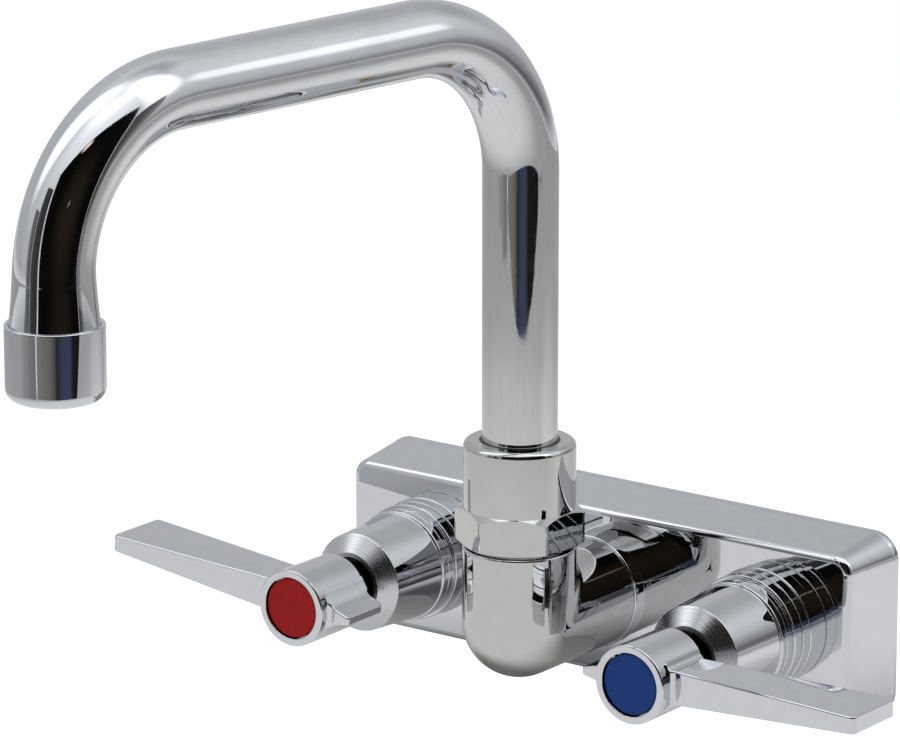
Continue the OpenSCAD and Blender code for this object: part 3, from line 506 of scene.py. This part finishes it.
# Spout elbow: a chromed casting that turns from the plate up to the spout, with a ball shaped outer corner.
# Its spigot plugs into the middle boss of the plate, and the spout nut screws on to its neck.
ELBOW_R, ELBOW_TOP, TOP_EDGE, INNER_BEND = 14.0, 19.4, 0.7, 3.0
RISER = 51.5  # how far the spout's axis stands out from the wall
ARM = RISER - BOSS_FRONT
NECK_R, NECK_BORE, NECK_TOP = 11.5, 9.75, 38.0
SPIGOT_R, SPIGOT_BORE, SPIGOT_END = 10.0, 6.5, 9.5
ELBOW_ROWS, ROUND = 72, 144
outer, inner = [], []  # rows of points on the outside and the inside of the turn
for k in range(ELBOW_ROWS + 1):
    a = math.pi * k / ELBOW_ROWS
    x, s = ELBOW_R * math.cos(a), ELBOW_R * math.sin(a)
    path = [(-s, z) for z in (ELBOW_TOP - TOP_EDGE, 14, 9, 4)]
    path += [(-s * math.cos(b), -s * math.sin(b)) for b in quarter(20)]
    path += [(y, -s) for y in (4, 9, 14, 19, 24, ARM)]
    outer.append([(x * MM, (-RISER + y) * MM, z * MM) for y, z in path])
    bend = min(INNER_BEND, max(0.05, ELBOW_TOP - TOP_EDGE - s))
    path = [(ARM + (s + bend - ARM) * j / 4, s) for j in range(4)]
    path += [(s + bend - bend * math.sin(b), s + bend - bend * math.cos(b)) for b in quarter(6)]
    path += [(s, s + bend + (ELBOW_TOP - TOP_EDGE - s - bend) * j / 3) for j in (1, 2, 3)]
    inner.append([(x * MM, (-RISER + y) * MM, z * MM) for y, z in path])
mesh = bmesh.new()
for strip in (outer, inner):
    grid = [[mesh.verts.new(point) for point in row] for row in strip]
    for k in range(ELBOW_ROWS):
        for j in range(len(grid[0]) - 1):
            quad = [grid[k][j], grid[k][j + 1], grid[k + 1][j + 1], grid[k + 1][j]]
            if len({tuple(round(c, 8) for c in vert.co) for vert in quad}) == 4:
                mesh.faces.new(quad)
bmesh.ops.remove_doubles(mesh, verts=mesh.verts, dist=2e-6)
neck = turn_rings([(ELBOW_R, ELBOW_TOP - TOP_EDGE, 0), (ELBOW_R, ELBOW_TOP, 0.6), (NECK_R, ELBOW_TOP, 0),
                   (NECK_R, NECK_TOP, 0), (NECK_BORE, NECK_TOP, 0)], around=ROUND)
fill_rings(mesh, moved(neck, y=-RISER), capped=False)
spigot = turn_rings([(ELBOW_R, BOSS_FRONT, 0), (SPIGOT_R, BOSS_FRONT, 0),
                     (SPIGOT_R, SPIGOT_END, 0), (SPIGOT_BORE, SPIGOT_END, 0)], around=ROUND)
fill_rings(mesh, [[(px, -pz, py) for px, py, pz in ring] for ring in spigot], capped=False)
elbow_chrome = polished_chrome("bright_chrome_on_brass_elbow", "#b9b9b8", "#c4c4c3")
finish_piece("spout_elbow_casting", mesh, [elbow_chrome], "faucet_body", ["spout_elbow"], sharp=50)


# Spout nut: a turned sleeve on a hexagon, chromed brass, that holds the spout down on the elbow.
# A dark plastic bushing lines its mouth so that the tube turns without rubbing on metal.
RISER_FRAME = Matrix.Translation((0, -RISER * MM, 0))
NUT_FLATS, NUT_LOW, NUT_HIGH, NUT_TURN = 27.9, 20.0, 29.4, 29
NUT_LOW_BEVEL, NUT_HIGH_BEVEL = 0.7, 1.3
CAP_R, CAP_BORE, CAP_LOW, CAP_TOP, CAP_EDGE = 13.8, 11.6, 27.0, 46.1, 1.6
MOUTH_R, MOUTH_LOW = 9.8, 44.5
mesh = bmesh.new()
fill_rings(mesh, hexagon_rings(NUT_FLATS, NUT_LOW, NUT_HIGH, NUT_LOW_BEVEL, NUT_HIGH_BEVEL, NUT_TURN))
sleeve = turn_rings([(CAP_BORE, CAP_LOW, 0), (CAP_R, CAP_LOW, 0), (CAP_R, CAP_TOP, CAP_EDGE),
                     (MOUTH_R, CAP_TOP, 0.25), (MOUTH_R, MOUTH_LOW, 0), (CAP_BORE, MOUTH_LOW, 0),
                     (CAP_BORE, CAP_LOW, 0)], around=ROUND)
fill_rings(mesh, sleeve, capped=False)
finish_piece("spout_hexagon_nut", mesh, [elbow_chrome], "faucet_body", ["spout_nut"], RISER_FRAME, sharp=24)
for name, dark, light, nodes in (("black_moulded_acetal", "#161617", "#222224", ["spout_bushing"]),
                                 ("white_moulded_acetal", "#d9d9d4", "#e8e8e4", ["aerator_insert"])):
    # Moulded acetal: a slippery plastic of one plain colour, with a soft, waxy shine.
    acetal, tree, place = new_surface(name)
    cloud = add(tree, "ShaderNodeTexNoise", {"Vector": place, "Scale": per_mm(3), "Detail": 3.0})
    tone = add(tree, "ShaderNodeValToRGB", {"Fac": cloud}, [(0, linear(dark)), (1, linear(light))])
    shine = add(tree, "ShaderNodeBsdfPrincipled", {"Base Color": tone, "Roughness": 0.4, "IOR": 1.48})
    add(tree, "ShaderNodeOutputMaterial", {"Surface": shine})
    dress(nodes, acetal)


# Spout tube: drawn brass tube bent twice, polished and chromed.
# It swings on the elbow; a turned fitting at its lower end runs on rubber rings inside the neck.

# Bright chrome over bent tube: a mirror with the fine lines of drawing along it, the ripples of bending,
# and dull scuffs. The lines are drawn coarser than the real ones so that they show.
tube_chrome, tree, place = new_surface("bright_chrome_on_bent_tube")
laid = add(tree, "ShaderNodeAttribute", attribute_name="laid_out").outputs["Vector"]  # place before bending
worn = add(tree, "ShaderNodeTexNoise", {"Vector": place, "Scale": per_mm(26), "Detail": 3.0})
haze = add(tree, "ShaderNodeTexNoise", {"Vector": place, "Scale": per_mm(6), "Detail": 7.0, "Roughness": 0.7})
LINE_LEN, LINE_WIDE = 14, 0.45  # of one line along the tube
drawn = add(tree, "ShaderNodeVectorMath", {0: laid, 1: (1 / LINE_LEN, 1 / LINE_WIDE, 1 / LINE_WIDE)},
            operation="MULTIPLY")
lines = add(tree, "ShaderNodeTexNoise", {"Vector": drawn, "Scale": 1.0, "Detail": 4.0})
RIPPLE_LEN, RIPPLE_WIDE = 26, 9  # of one ripple
wavy = add(tree, "ShaderNodeVectorMath", {0: laid, 1: (1 / RIPPLE_LEN, 1 / RIPPLE_WIDE, 1 / RIPPLE_WIDE)},
           operation="MULTIPLY")
ripple = add(tree, "ShaderNodeTexNoise", {"Vector": wavy, "Scale": 1.0, "Detail": 2.0})
bump = add(tree, "ShaderNodeBump", {"Height": ripple, "Strength": 0.25, "Distance": 0.3 * MM})
bump = add(tree, "ShaderNodeBump", {"Height": lines, "Strength": 0.035, "Distance": 0.03 * MM, "Normal": bump})
scuff = add(tree, "ShaderNodeMath", {0: haze, 1: worn}, operation="MULTIPLY")
marks = add(tree, "ShaderNodeMix", {"Factor": 0.6, "A": lines, "B": worn})
tone = add(tree, "ShaderNodeValToRGB", {"Fac": marks}, [(0.35, linear("#c5c7ca")), (0.65, linear("#d3d4d6"))])
gloss = add(tree, "ShaderNodeMapRange", {"Value": scuff, "From Min": 0.18, "From Max": 0.42,
                                         "To Min": 0.01, "To Max": 0.09})
shine = add(tree, "ShaderNodeBsdfPrincipled", {"Base Color": tone, "Metallic": 1.0,
                                               "Roughness": gloss, "Normal": bump})
add(tree, "ShaderNodeOutputMaterial", {"Surface": shine})

SPOUT_FRAME = RISER_FRAME @ Matrix.Rotation(math.radians(-8), 4, "Z")  # swung as photographed
TUBE_R, REACH, RUN, BEND, TUBE_LOW = 9.25, 149.7, 150.5, 37.5, NECK_TOP
BENDS_END = RUN - BEND  # height of the end of the second bend
BENT_LEN = BENDS_END - TUBE_LOW + math.pi * BEND + REACH - 2 * BEND
TUBE_AROUND, BEND_STEPS, RUN_STEPS = 96, 40, 12


def opened(left):
    # how far the tube's end is opened out, at a length before the end of the second bend
    open_len, open_curve = 7.0, 0.0037
    return open_curve * max(open_len - left, 0.0) ** 2


# the tube's middle line as (out, up, lean of the tube from upright)
line = [(0.0, TUBE_LOW + (BENDS_END - TUBE_LOW) * k / RUN_STEPS, 0.0) for k in range(RUN_STEPS)]
line += [(BEND - BEND * math.cos(a), BENDS_END + BEND * math.sin(a), a) for a in quarter(BEND_STEPS)]
line += [(BEND + (REACH - 2 * BEND) * k / RUN_STEPS, RUN, math.pi / 2) for k in range(1, RUN_STEPS)]
line += [(REACH - BEND + BEND * math.sin(a), BENDS_END + BEND * math.cos(a), math.pi / 2 + a)
         for a in quarter(BEND_STEPS)]
line += [(REACH, z, math.pi) for z in (110.0, 106.0, 101.0)]
rings = []
straight = []
along = 0.0
for k, (out, up, lean) in enumerate(line):
    along += math.dist(line[k][:2], line[k - 1][:2]) if k else 0.0
    radius = TUBE_R + opened(max(BENT_LEN - along, 0.0))
    ring = []
    for i in range(TUBE_AROUND):
        a = 2 * math.pi * i / TUBE_AROUND
        away = radius * math.cos(a)
        side = radius * math.sin(a)
        ring.append((side * MM, -(out - away * math.cos(lean)) * MM, (up + away * math.sin(lean)) * MM))
        straight.append((along, away, side))
    rings.append(ring)
mesh = bmesh.new()
fill_rings(mesh, rings)
laid = mesh.verts.layers.float_vector.new("laid_out")
for vert, spot in zip(mesh.verts, straight):
    vert[laid] = spot
finish_piece("bent_spout", mesh, [tube_chrome], "swing_spout", ["spout_tube"], SPOUT_FRAME)


# Outlet and aerator: a flared, threaded end soldered to the tube, and a thin chromed cup screwed on to it.
# The cup's lower edge is rolled in; it holds a rubber washer, a moulded insert and a pierced screen.
OUTLET_FRAME = SPOUT_FRAME @ Matrix.Translation((0, -REACH * MM, 0))
OUTLET_BORE, OUTLET_R, OUTLET_LOW, FLARE_LOW, FLARE_STEPS = 9.2, 10.3, 95.0, 102.0, 16
SOLDER = 0.01  # how far the end stands over the tube
CUP_R, CUP_LOW, CUP_TOP, CUP_ROLL, CUP_RIM = 11.4, 85.5, 103.0, 2.9, 0.3
CUP_MOUTH, CUP_LEDGE, CUP_BORE, CUP_STOP = 8.3, 86.7, 10.4, 94.1
flare_heights = [FLARE_LOW + (BENDS_END - FLARE_LOW) * k / FLARE_STEPS for k in range(FLARE_STEPS + 1)]
flared = [(TUBE_R + SOLDER + opened(z - BENDS_END), z, 0) for z in flare_heights]
mesh = bmesh.new()
fill_rings(mesh, turn_rings([(OUTLET_BORE, OUTLET_LOW, 0), (OUTLET_R, OUTLET_LOW, 0.3)] + flared
                            + [(OUTLET_BORE, BENDS_END, 0), (OUTLET_BORE, OUTLET_LOW, 0)], around=ROUND),
           capped=False)
laid = mesh.verts.layers.float_vector.new("laid_out")
for vert in mesh.verts:
    vert[laid] = (vert.co.z / MM, vert.co.x / MM, vert.co.y / MM)
finish_piece("outlet_end", mesh, [tube_chrome], "swing_spout", ["outlet_fitting"], OUTLET_FRAME)
mesh = bmesh.new()
cup = turn_rings([(CUP_MOUTH, CUP_LEDGE, 0), (CUP_MOUTH, CUP_LOW, 0.3), (CUP_R, CUP_LOW, CUP_ROLL),
                  (CUP_R, CUP_TOP, CUP_RIM), (CUP_BORE, CUP_TOP, CUP_RIM), (CUP_BORE, CUP_STOP, 0),
                  (OUTLET_BORE, CUP_STOP, 0), (OUTLET_BORE, CUP_LEDGE, 0), (CUP_MOUTH, CUP_LEDGE, 0)], steps=9)
fill_rings(mesh, cup, capped=False)
finish_piece("aerator_cup", mesh, [turned_chrome], "swing_spout", ["aerator_housing"], OUTLET_FRAME)


# Studio: a pale floor well below the faucet and a white surround, which light it softly from all round.
# They stay in place when the faucet moves.
def seen_directly(tree):
    # 1 where the camera or a mirror sees the studio, and 0 where the studio only sheds light
    path = add(tree, "ShaderNodeLightPath").outputs
    seen = path["Is Camera Ray"]
    for kind in ("Is Glossy Ray", "Is Transmission Ray"):
        seen = add(tree, "ShaderNodeMath", {0: seen, 1: path[kind]}, operation="MAXIMUM").outputs["Value"]
    return seen


floor_mesh = bmesh.new()
bmesh.ops.create_grid(floor_mesh, x_segments=1, y_segments=1, size=6.0)
floor_data = bpy.data.meshes.new("floor")
floor_mesh.to_mesh(floor_data)
floor_mesh.free()
floor = bpy.data.objects.new("floor", floor_data)
floor.location = (0, 0, -0.42)
bpy.context.scene.collection.objects.link(floor)
# Matt white paper: an even white with hardly any fibre to be seen.
paper, tree, place = new_surface("matt_white_paper")
seen = seen_directly(tree)
fibre = add(tree, "ShaderNodeTexNoise", {"Vector": place, "Scale": per_mm(4), "Detail": 3.0})
tone = add(tree, "ShaderNodeValToRGB", {"Fac": fibre}, [(0, linear("#f4f4f4")), (1, linear("#f8f8f8"))])
matt = add(tree, "ShaderNodeBsdfDiffuse", {"Color": tone})
glow = add(tree, "ShaderNodeEmission", {"Color": (1, 1, 1, 1), "Strength": 0.45})
both = add(tree, "ShaderNodeAddShader", {0: matt, 1: glow})
shown = add(tree, "ShaderNodeMixShader", {0: seen, 1: matt, 2: both})
add(tree, "ShaderNodeOutputMaterial", {"Surface": shown})
floor_data.materials.append(paper)

world = bpy.data.worlds.new("studio_surround")
world.use_nodes = True
bpy.context.scene.world = world
tree = world.node_tree
tree.nodes.clear()
level = add(tree, "ShaderNodeMapRange", {"Value": seen_directly(tree), "To Min": 0.55, "To Max": 1.0})
sky = add(tree, "ShaderNodeBackground", {"Color": (1, 1, 1, 1), "Strength": level})
add(tree, "ShaderNodeOutputWorld", {"Surface": sky})


# Light tent: what the metal mirrors, and nothing else sees. It is a pale cloth dome with lamps behind it
# and a sheet of paper for its floor; brighter and darker ovals stand for the lamps and the shaded folds.
TENT_MIDDLE, TENT_R, SHEET_Z = (0, -0.08, 0.05), 0.85, -0.03  # in metres


def tent_piece(name, mesh, place, cloth):
    data = bpy.data.meshes.new(name)
    mesh.to_mesh(data)
    mesh.free()
    data.materials.append(cloth)
    piece = bpy.data.objects.new(name, data)
    piece.matrix_world = place
    bpy.context.scene.collection.objects.link(piece)
    piece.visible_camera = False
    piece.visible_diffuse = False
    piece.visible_shadow = False


def towards(azimuth, rise):
    # a direction from the faucet: degrees from straight ahead towards the cold side, and above level
    a, e = math.radians(azimuth), math.radians(rise)
    return Vector((math.sin(a) * math.cos(e), -math.cos(a) * math.cos(e), math.sin(e)))


def lit(stops):
    # stops of light: each is a place from 0 to 1 and a level, as one grey or as red, green and blue
    return [(at, (*level, 1.0) if len(level) == 3 else (*level * 3, 1.0)) for at, *level in stops]


def oval(tree, spread, height, half_w, half_h, soft):
    # 1 inside an oval and 0 outside it, with a soft edge
    both = add(tree, "ShaderNodeCombineXYZ", {"X": spread, "Y": height})
    both = add(tree, "ShaderNodeVectorMath", {0: both, 1: (1 / half_w, 1 / half_h, 0)}, operation="MULTIPLY")
    away = add(tree, "ShaderNodeVectorMath", {0: both}, operation="LENGTH").outputs["Value"]
    return add(tree, "ShaderNodeMapRange", {"Value": away, "From Min": 1 + soft, "From Max": 1 - soft},
               interpolation_type="SMOOTHSTEP")


def oval_at(tree, across, up, middle, half_w, half_h, soft):
    # the same oval on a flat cloth, about a point on it
    spread = add(tree, "ShaderNodeMath", {0: across, 1: middle[0]}, operation="SUBTRACT")
    height = add(tree, "ShaderNodeMath", {0: up, 1: middle[1]}, operation="SUBTRACT")
    return oval(tree, spread, height, half_w, half_h, soft)


def patch(tree, way, azimuth, lift, half_w, half_h, soft, gain):
    # an oval of light on the dome about a direction; its half sizes are sines of angles
    spread, height, ahead = [
        add(tree, "ShaderNodeVectorMath", {0: way, 1: axis}, operation="DOT_PRODUCT").outputs["Value"]
        for axis in (towards(azimuth + 90, 0), towards(azimuth, lift + 90), towards(azimuth, lift))]
    inside = oval(tree, spread, height, half_w, half_h, soft)
    front = add(tree, "ShaderNodeMapRange", {"Value": ahead, "From Min": 0.0, "From Max": 0.01, "To Max": gain})
    return add(tree, "ShaderNodeMath", {0: inside, 1: front}, operation="MULTIPLY")


# Lit tent cloth: white cotton, brighter towards its top, and a little cold in colour.
dome_cloth, tree, place = new_surface("lit_tent_cloth")
way = add(tree, "ShaderNodeVectorMath", {0: place}, operation="NORMALIZE")
rise = add(tree, "ShaderNodeSeparateXYZ", {"Vector": way}).outputs["Z"]
cloth = add(tree, "ShaderNodeValToRGB", {"Fac": rise}, lit([
    (0.0, 0.56), (0.3, 0.62), (0.77, 0.70), (0.91, 0.88), (0.97, 1.0), (1.0, 1.05)]))
for azimuth, lift, half_w, half_h, soft, gain in (
        (-57, 53, 0.20, 0.48, 0.35, 1.2),  # the long lamp on the hot side
        (107, 55, 0.14, 0.52, 0.35, 1.2),  # the long lamp on the cold side
        (40, 81, 0.36, 0.36, 0.3, 0.30),  # the round lamp overhead and the glow in front of it
        (38, 60, 0.75, 0.3, 0.6, 0.5),
        (129, 33, 0.13, 0.13, 0.5, 0.65),  # a small lamp low down behind the cold side, and its glow
        (138, 40, 0.30, 0.30, 0.9, 0.30),
        (148, 6, 0.32, 0.15, 0.5, -0.20),  # shade along the foot of the cloth
        (130, -2, 0.55, 0.13, 0.7, -0.24),
        (-172, 40, 0.4, 0.2, 0.6, -0.12),  # shade behind the wall and beside the top
        (180, 80, 0.30, 0.22, 0.6, -0.45)):
    spot = patch(tree, way, azimuth, lift, half_w, half_h, soft, gain)
    cloth = add(tree, "ShaderNodeVectorMath", {0: cloth, 1: spot}, operation="ADD")
below = add(tree, "ShaderNodeMapRange", {"Value": rise, "From Min": -0.02, "From Max": -0.08, "To Max": 0.32})
cloth = add(tree, "ShaderNodeVectorMath", {0: cloth, 1: below}, operation="ADD")
cloth = add(tree, "ShaderNodeVectorMath", {0: cloth, 1: (0.985, 1.0, 1.03)}, operation="MULTIPLY")
light = add(tree, "ShaderNodeEmission", {"Color": cloth})
add(tree, "ShaderNodeOutputMaterial", {"Surface": light})
dome = bmesh.new()
bmesh.ops.create_uvsphere(dome, u_segments=48, v_segments=24, radius=TENT_R)
tent_piece("tent_dome", dome, Matrix.Translation(TENT_MIDDLE), dome_cloth)

# Lit tent floor: white paper, brightest under the faucet and darker towards its edges.
floor_cloth, tree, place = new_surface("lit_tent_floor")
far = add(tree, "ShaderNodeVectorMath", {0: place}, operation="LENGTH").outputs["Value"]
paper_light = add(tree, "ShaderNodeValToRGB", {"Fac": far}, lit([
    (0.0, 0.92), (0.2, 0.88), (0.31, 0.70), (0.37, 0.58), (0.45, 0.48), (0.8, 0.44)]))
where = add(tree, "ShaderNodeSeparateXYZ", {"Vector": place}).outputs
for middle, half_w, half_h, soft, level in (
        ((-0.01, 0.11), 0.10, 0.08, 0.45, 0.26),  # the faucet's own shade towards the wall
        ((-0.012, 0.032), 0.024, 0.02, 0.5, 0.35),  # the shade under the elbow
        ((0.25, 0.23), 0.13, 0.13, 0.6, 1.22)):  # lamp light beyond the plate's cold end
    spot = oval_at(tree, where["X"], where["Y"], middle, half_w, half_h, soft)
    spot = add(tree, "ShaderNodeMapRange", {"Value": spot, "To Min": 1.0, "To Max": level})
    paper_light = add(tree, "ShaderNodeVectorMath", {0: paper_light, 1: spot}, operation="MULTIPLY")
light = add(tree, "ShaderNodeEmission", {"Color": paper_light})
add(tree, "ShaderNodeOutputMaterial", {"Surface": light})
sheet = bmesh.new()
bmesh.ops.create_grid(sheet, x_segments=1, y_segments=1, size=0.8)
tent_piece("tent_floor", sheet, Matrix.Translation((TENT_MIDDLE[0], TENT_MIDDLE[1], SHEET_Z)), floor_cloth)


# Dark cloths: the opening that the camera looks through, with a strip of warm, blue and grey tones along its foot,
# and the curtain folds beside it. They hang in the tent and give the metal its dark bands.
WARM, BLUE = (0.21, 0.19, 0.165), (0.055, 0.07, 0.12)  # what shows at the foot of the opening
HEM, FOOT_LOW, FOOT_HIGH = 0.9, 0.030, 0.038  # the white hem's light; where the foot meets the cloth
OPENING_SPOTS = (((-0.03, 0.20), 0.14, 0.14, 0.9, (0.020, 0.014, 0.008)),  # a faint warm glow
                 ((-0.09, 0.49), 0.05, 0.02, 0.4, (1.4, 1.15, 0.8)),  # a lamp at the top
                 ((-0.07, 0.23), 0.012, 0.008, 0.4, (0.24, 0.19, 0.14)))  # a small warm light
for name, azimuth, distance, width, high, cloth_stops, foot_stops, spots in (
        ("tent_opening", 43.5, 0.40, 0.90, 0.52,
         [(0.0, HEM), (0.028, HEM), (0.036, 0.004), (0.97, 0.004), (0.975, 0.7), (1.0, 0.7)],
         [(0.0, HEM), (0.028, HEM), (0.036, 0.27), (0.26, *WARM), (0.33, 0.12), (0.37, 0.03), (0.45, *BLUE),
          (0.56, *BLUE), (0.62, 0.015), (0.97, 0.01), (0.975, 0.7), (1.0, 0.7)], OPENING_SPOTS),
        ("left_curtain", -13.0, 0.50, 0.13, 0.37,
         [(0.0, 0.09), (0.5, 0.05), (1.0, 0.05)], [(0.0, 0.30), (1.0, 0.22)], ()),
        ("left_curtain_fold", -27.0, 0.54, 0.10, 0.28,
         [(0.0, 0.30), (0.5, 0.16), (1.0, 0.12)], [(0.0, 0.42), (1.0, 0.30)], ()),
        ("right_curtain", 97.0, 0.60, 0.17, 0.36,
         [(0.0, 0.06), (0.6, 0.10), (1.0, 0.26)], [(0.0, 0.10), (1.0, 0.36)], ())):
    # Dark cotton cloth: nearly black, lighter at its hem and where a fold turns to the light.
    dark, tree, place = new_surface(name + "_cloth")
    where = add(tree, "ShaderNodeSeparateXYZ", {"Vector": place}).outputs
    across = add(tree, "ShaderNodeMapRange", {"Value": where["X"], "From Min": -width / 2, "From Max": width / 2})
    up = add(tree, "ShaderNodeMapRange", {"Value": where["Z"], "From Min": FOOT_LOW, "From Max": FOOT_HIGH})
    hung = add(tree, "ShaderNodeValToRGB", {"Fac": across}, lit(cloth_stops))
    for middle, half_w, half_h, soft, tint in spots:
        spot = oval_at(tree, where["X"], where["Z"], middle, half_w, half_h, soft)
        hung = add(tree, "ShaderNodeVectorMath", {0: spot, 1: tint, 2: hung}, operation="MULTIPLY_ADD")
    foot = add(tree, "ShaderNodeValToRGB", {"Fac": across}, lit(foot_stops))
    tone = add(tree, "ShaderNodeMix", {"Factor": up, 6: foot, 7: hung}, data_type="RGBA").outputs[2]
    light = add(tree, "ShaderNodeEmission", {"Color": tone})
    add(tree, "ShaderNodeOutputMaterial", {"Surface": light})
    board = bmesh.new()
    corners = [(-width / 2, 0, SHEET_Z), (width / 2, 0, SHEET_Z), (width / 2, 0, high), (-width / 2, 0, high)]
    board.faces.new([board.verts.new(corner) for corner in corners])
    middle = Vector((0, -RISER * MM, 0)) + towards(azimuth, 0) * distance
    tent_piece(name, board, Matrix.Translation(middle) @ Matrix.Rotation(math.radians(azimuth), 4, "Z"), dark)


# Lamps and camera: three soft area lamps that light what is not metal, such as the buttons,
# and the camera, which stands where the photograph was taken from.
for name, place, size, power in (("overhead", (0.2, -0.5, 1.3), (1.0, 0.7), 16),
                                 ("left_window", (-1.1, -0.9, 0.5), (0.5, 0.9), 9),
                                 ("right_window", (1.4, -0.1, 0.5), (0.5, 0.9), 8)):
    lamp = bpy.data.lights.new(name, "AREA")
    lamp.shape = "RECTANGLE"
    lamp.size, lamp.size_y = size
    lamp.energy = power
    stand = bpy.data.objects.new(name, lamp)
    stand.visible_glossy = False  # the tent is what the metal mirrors
    stand.location = place
    stand.rotation_euler = (Vector(TENT_MIDDLE) - Vector(place)).to_track_quat("-Z", "Y").to_euler()
    bpy.context.scene.collection.objects.link(stand)

LOOK_DOWN, LOOK_ROUND = 15.09, 36.52  # degrees below level, and from straight ahead
camera = bpy.data.cameras.new("photo_camera")
camera.lens = 231.9
camera.sensor_width = 36.0
camera.clip_end = 20.0
viewer = bpy.data.objects.new("photo_camera", camera)
viewer.location = (0.7930, -1.1509, 0.4289)
viewer.rotation_euler = (math.radians(90 - LOOK_DOWN), 0, math.radians(LOOK_ROUND))
bpy.context.scene.collection.objects.link(viewer)
bpy.context.scene.camera = viewer
bpy.context.scene.view_settings.view_transform = "Standard"
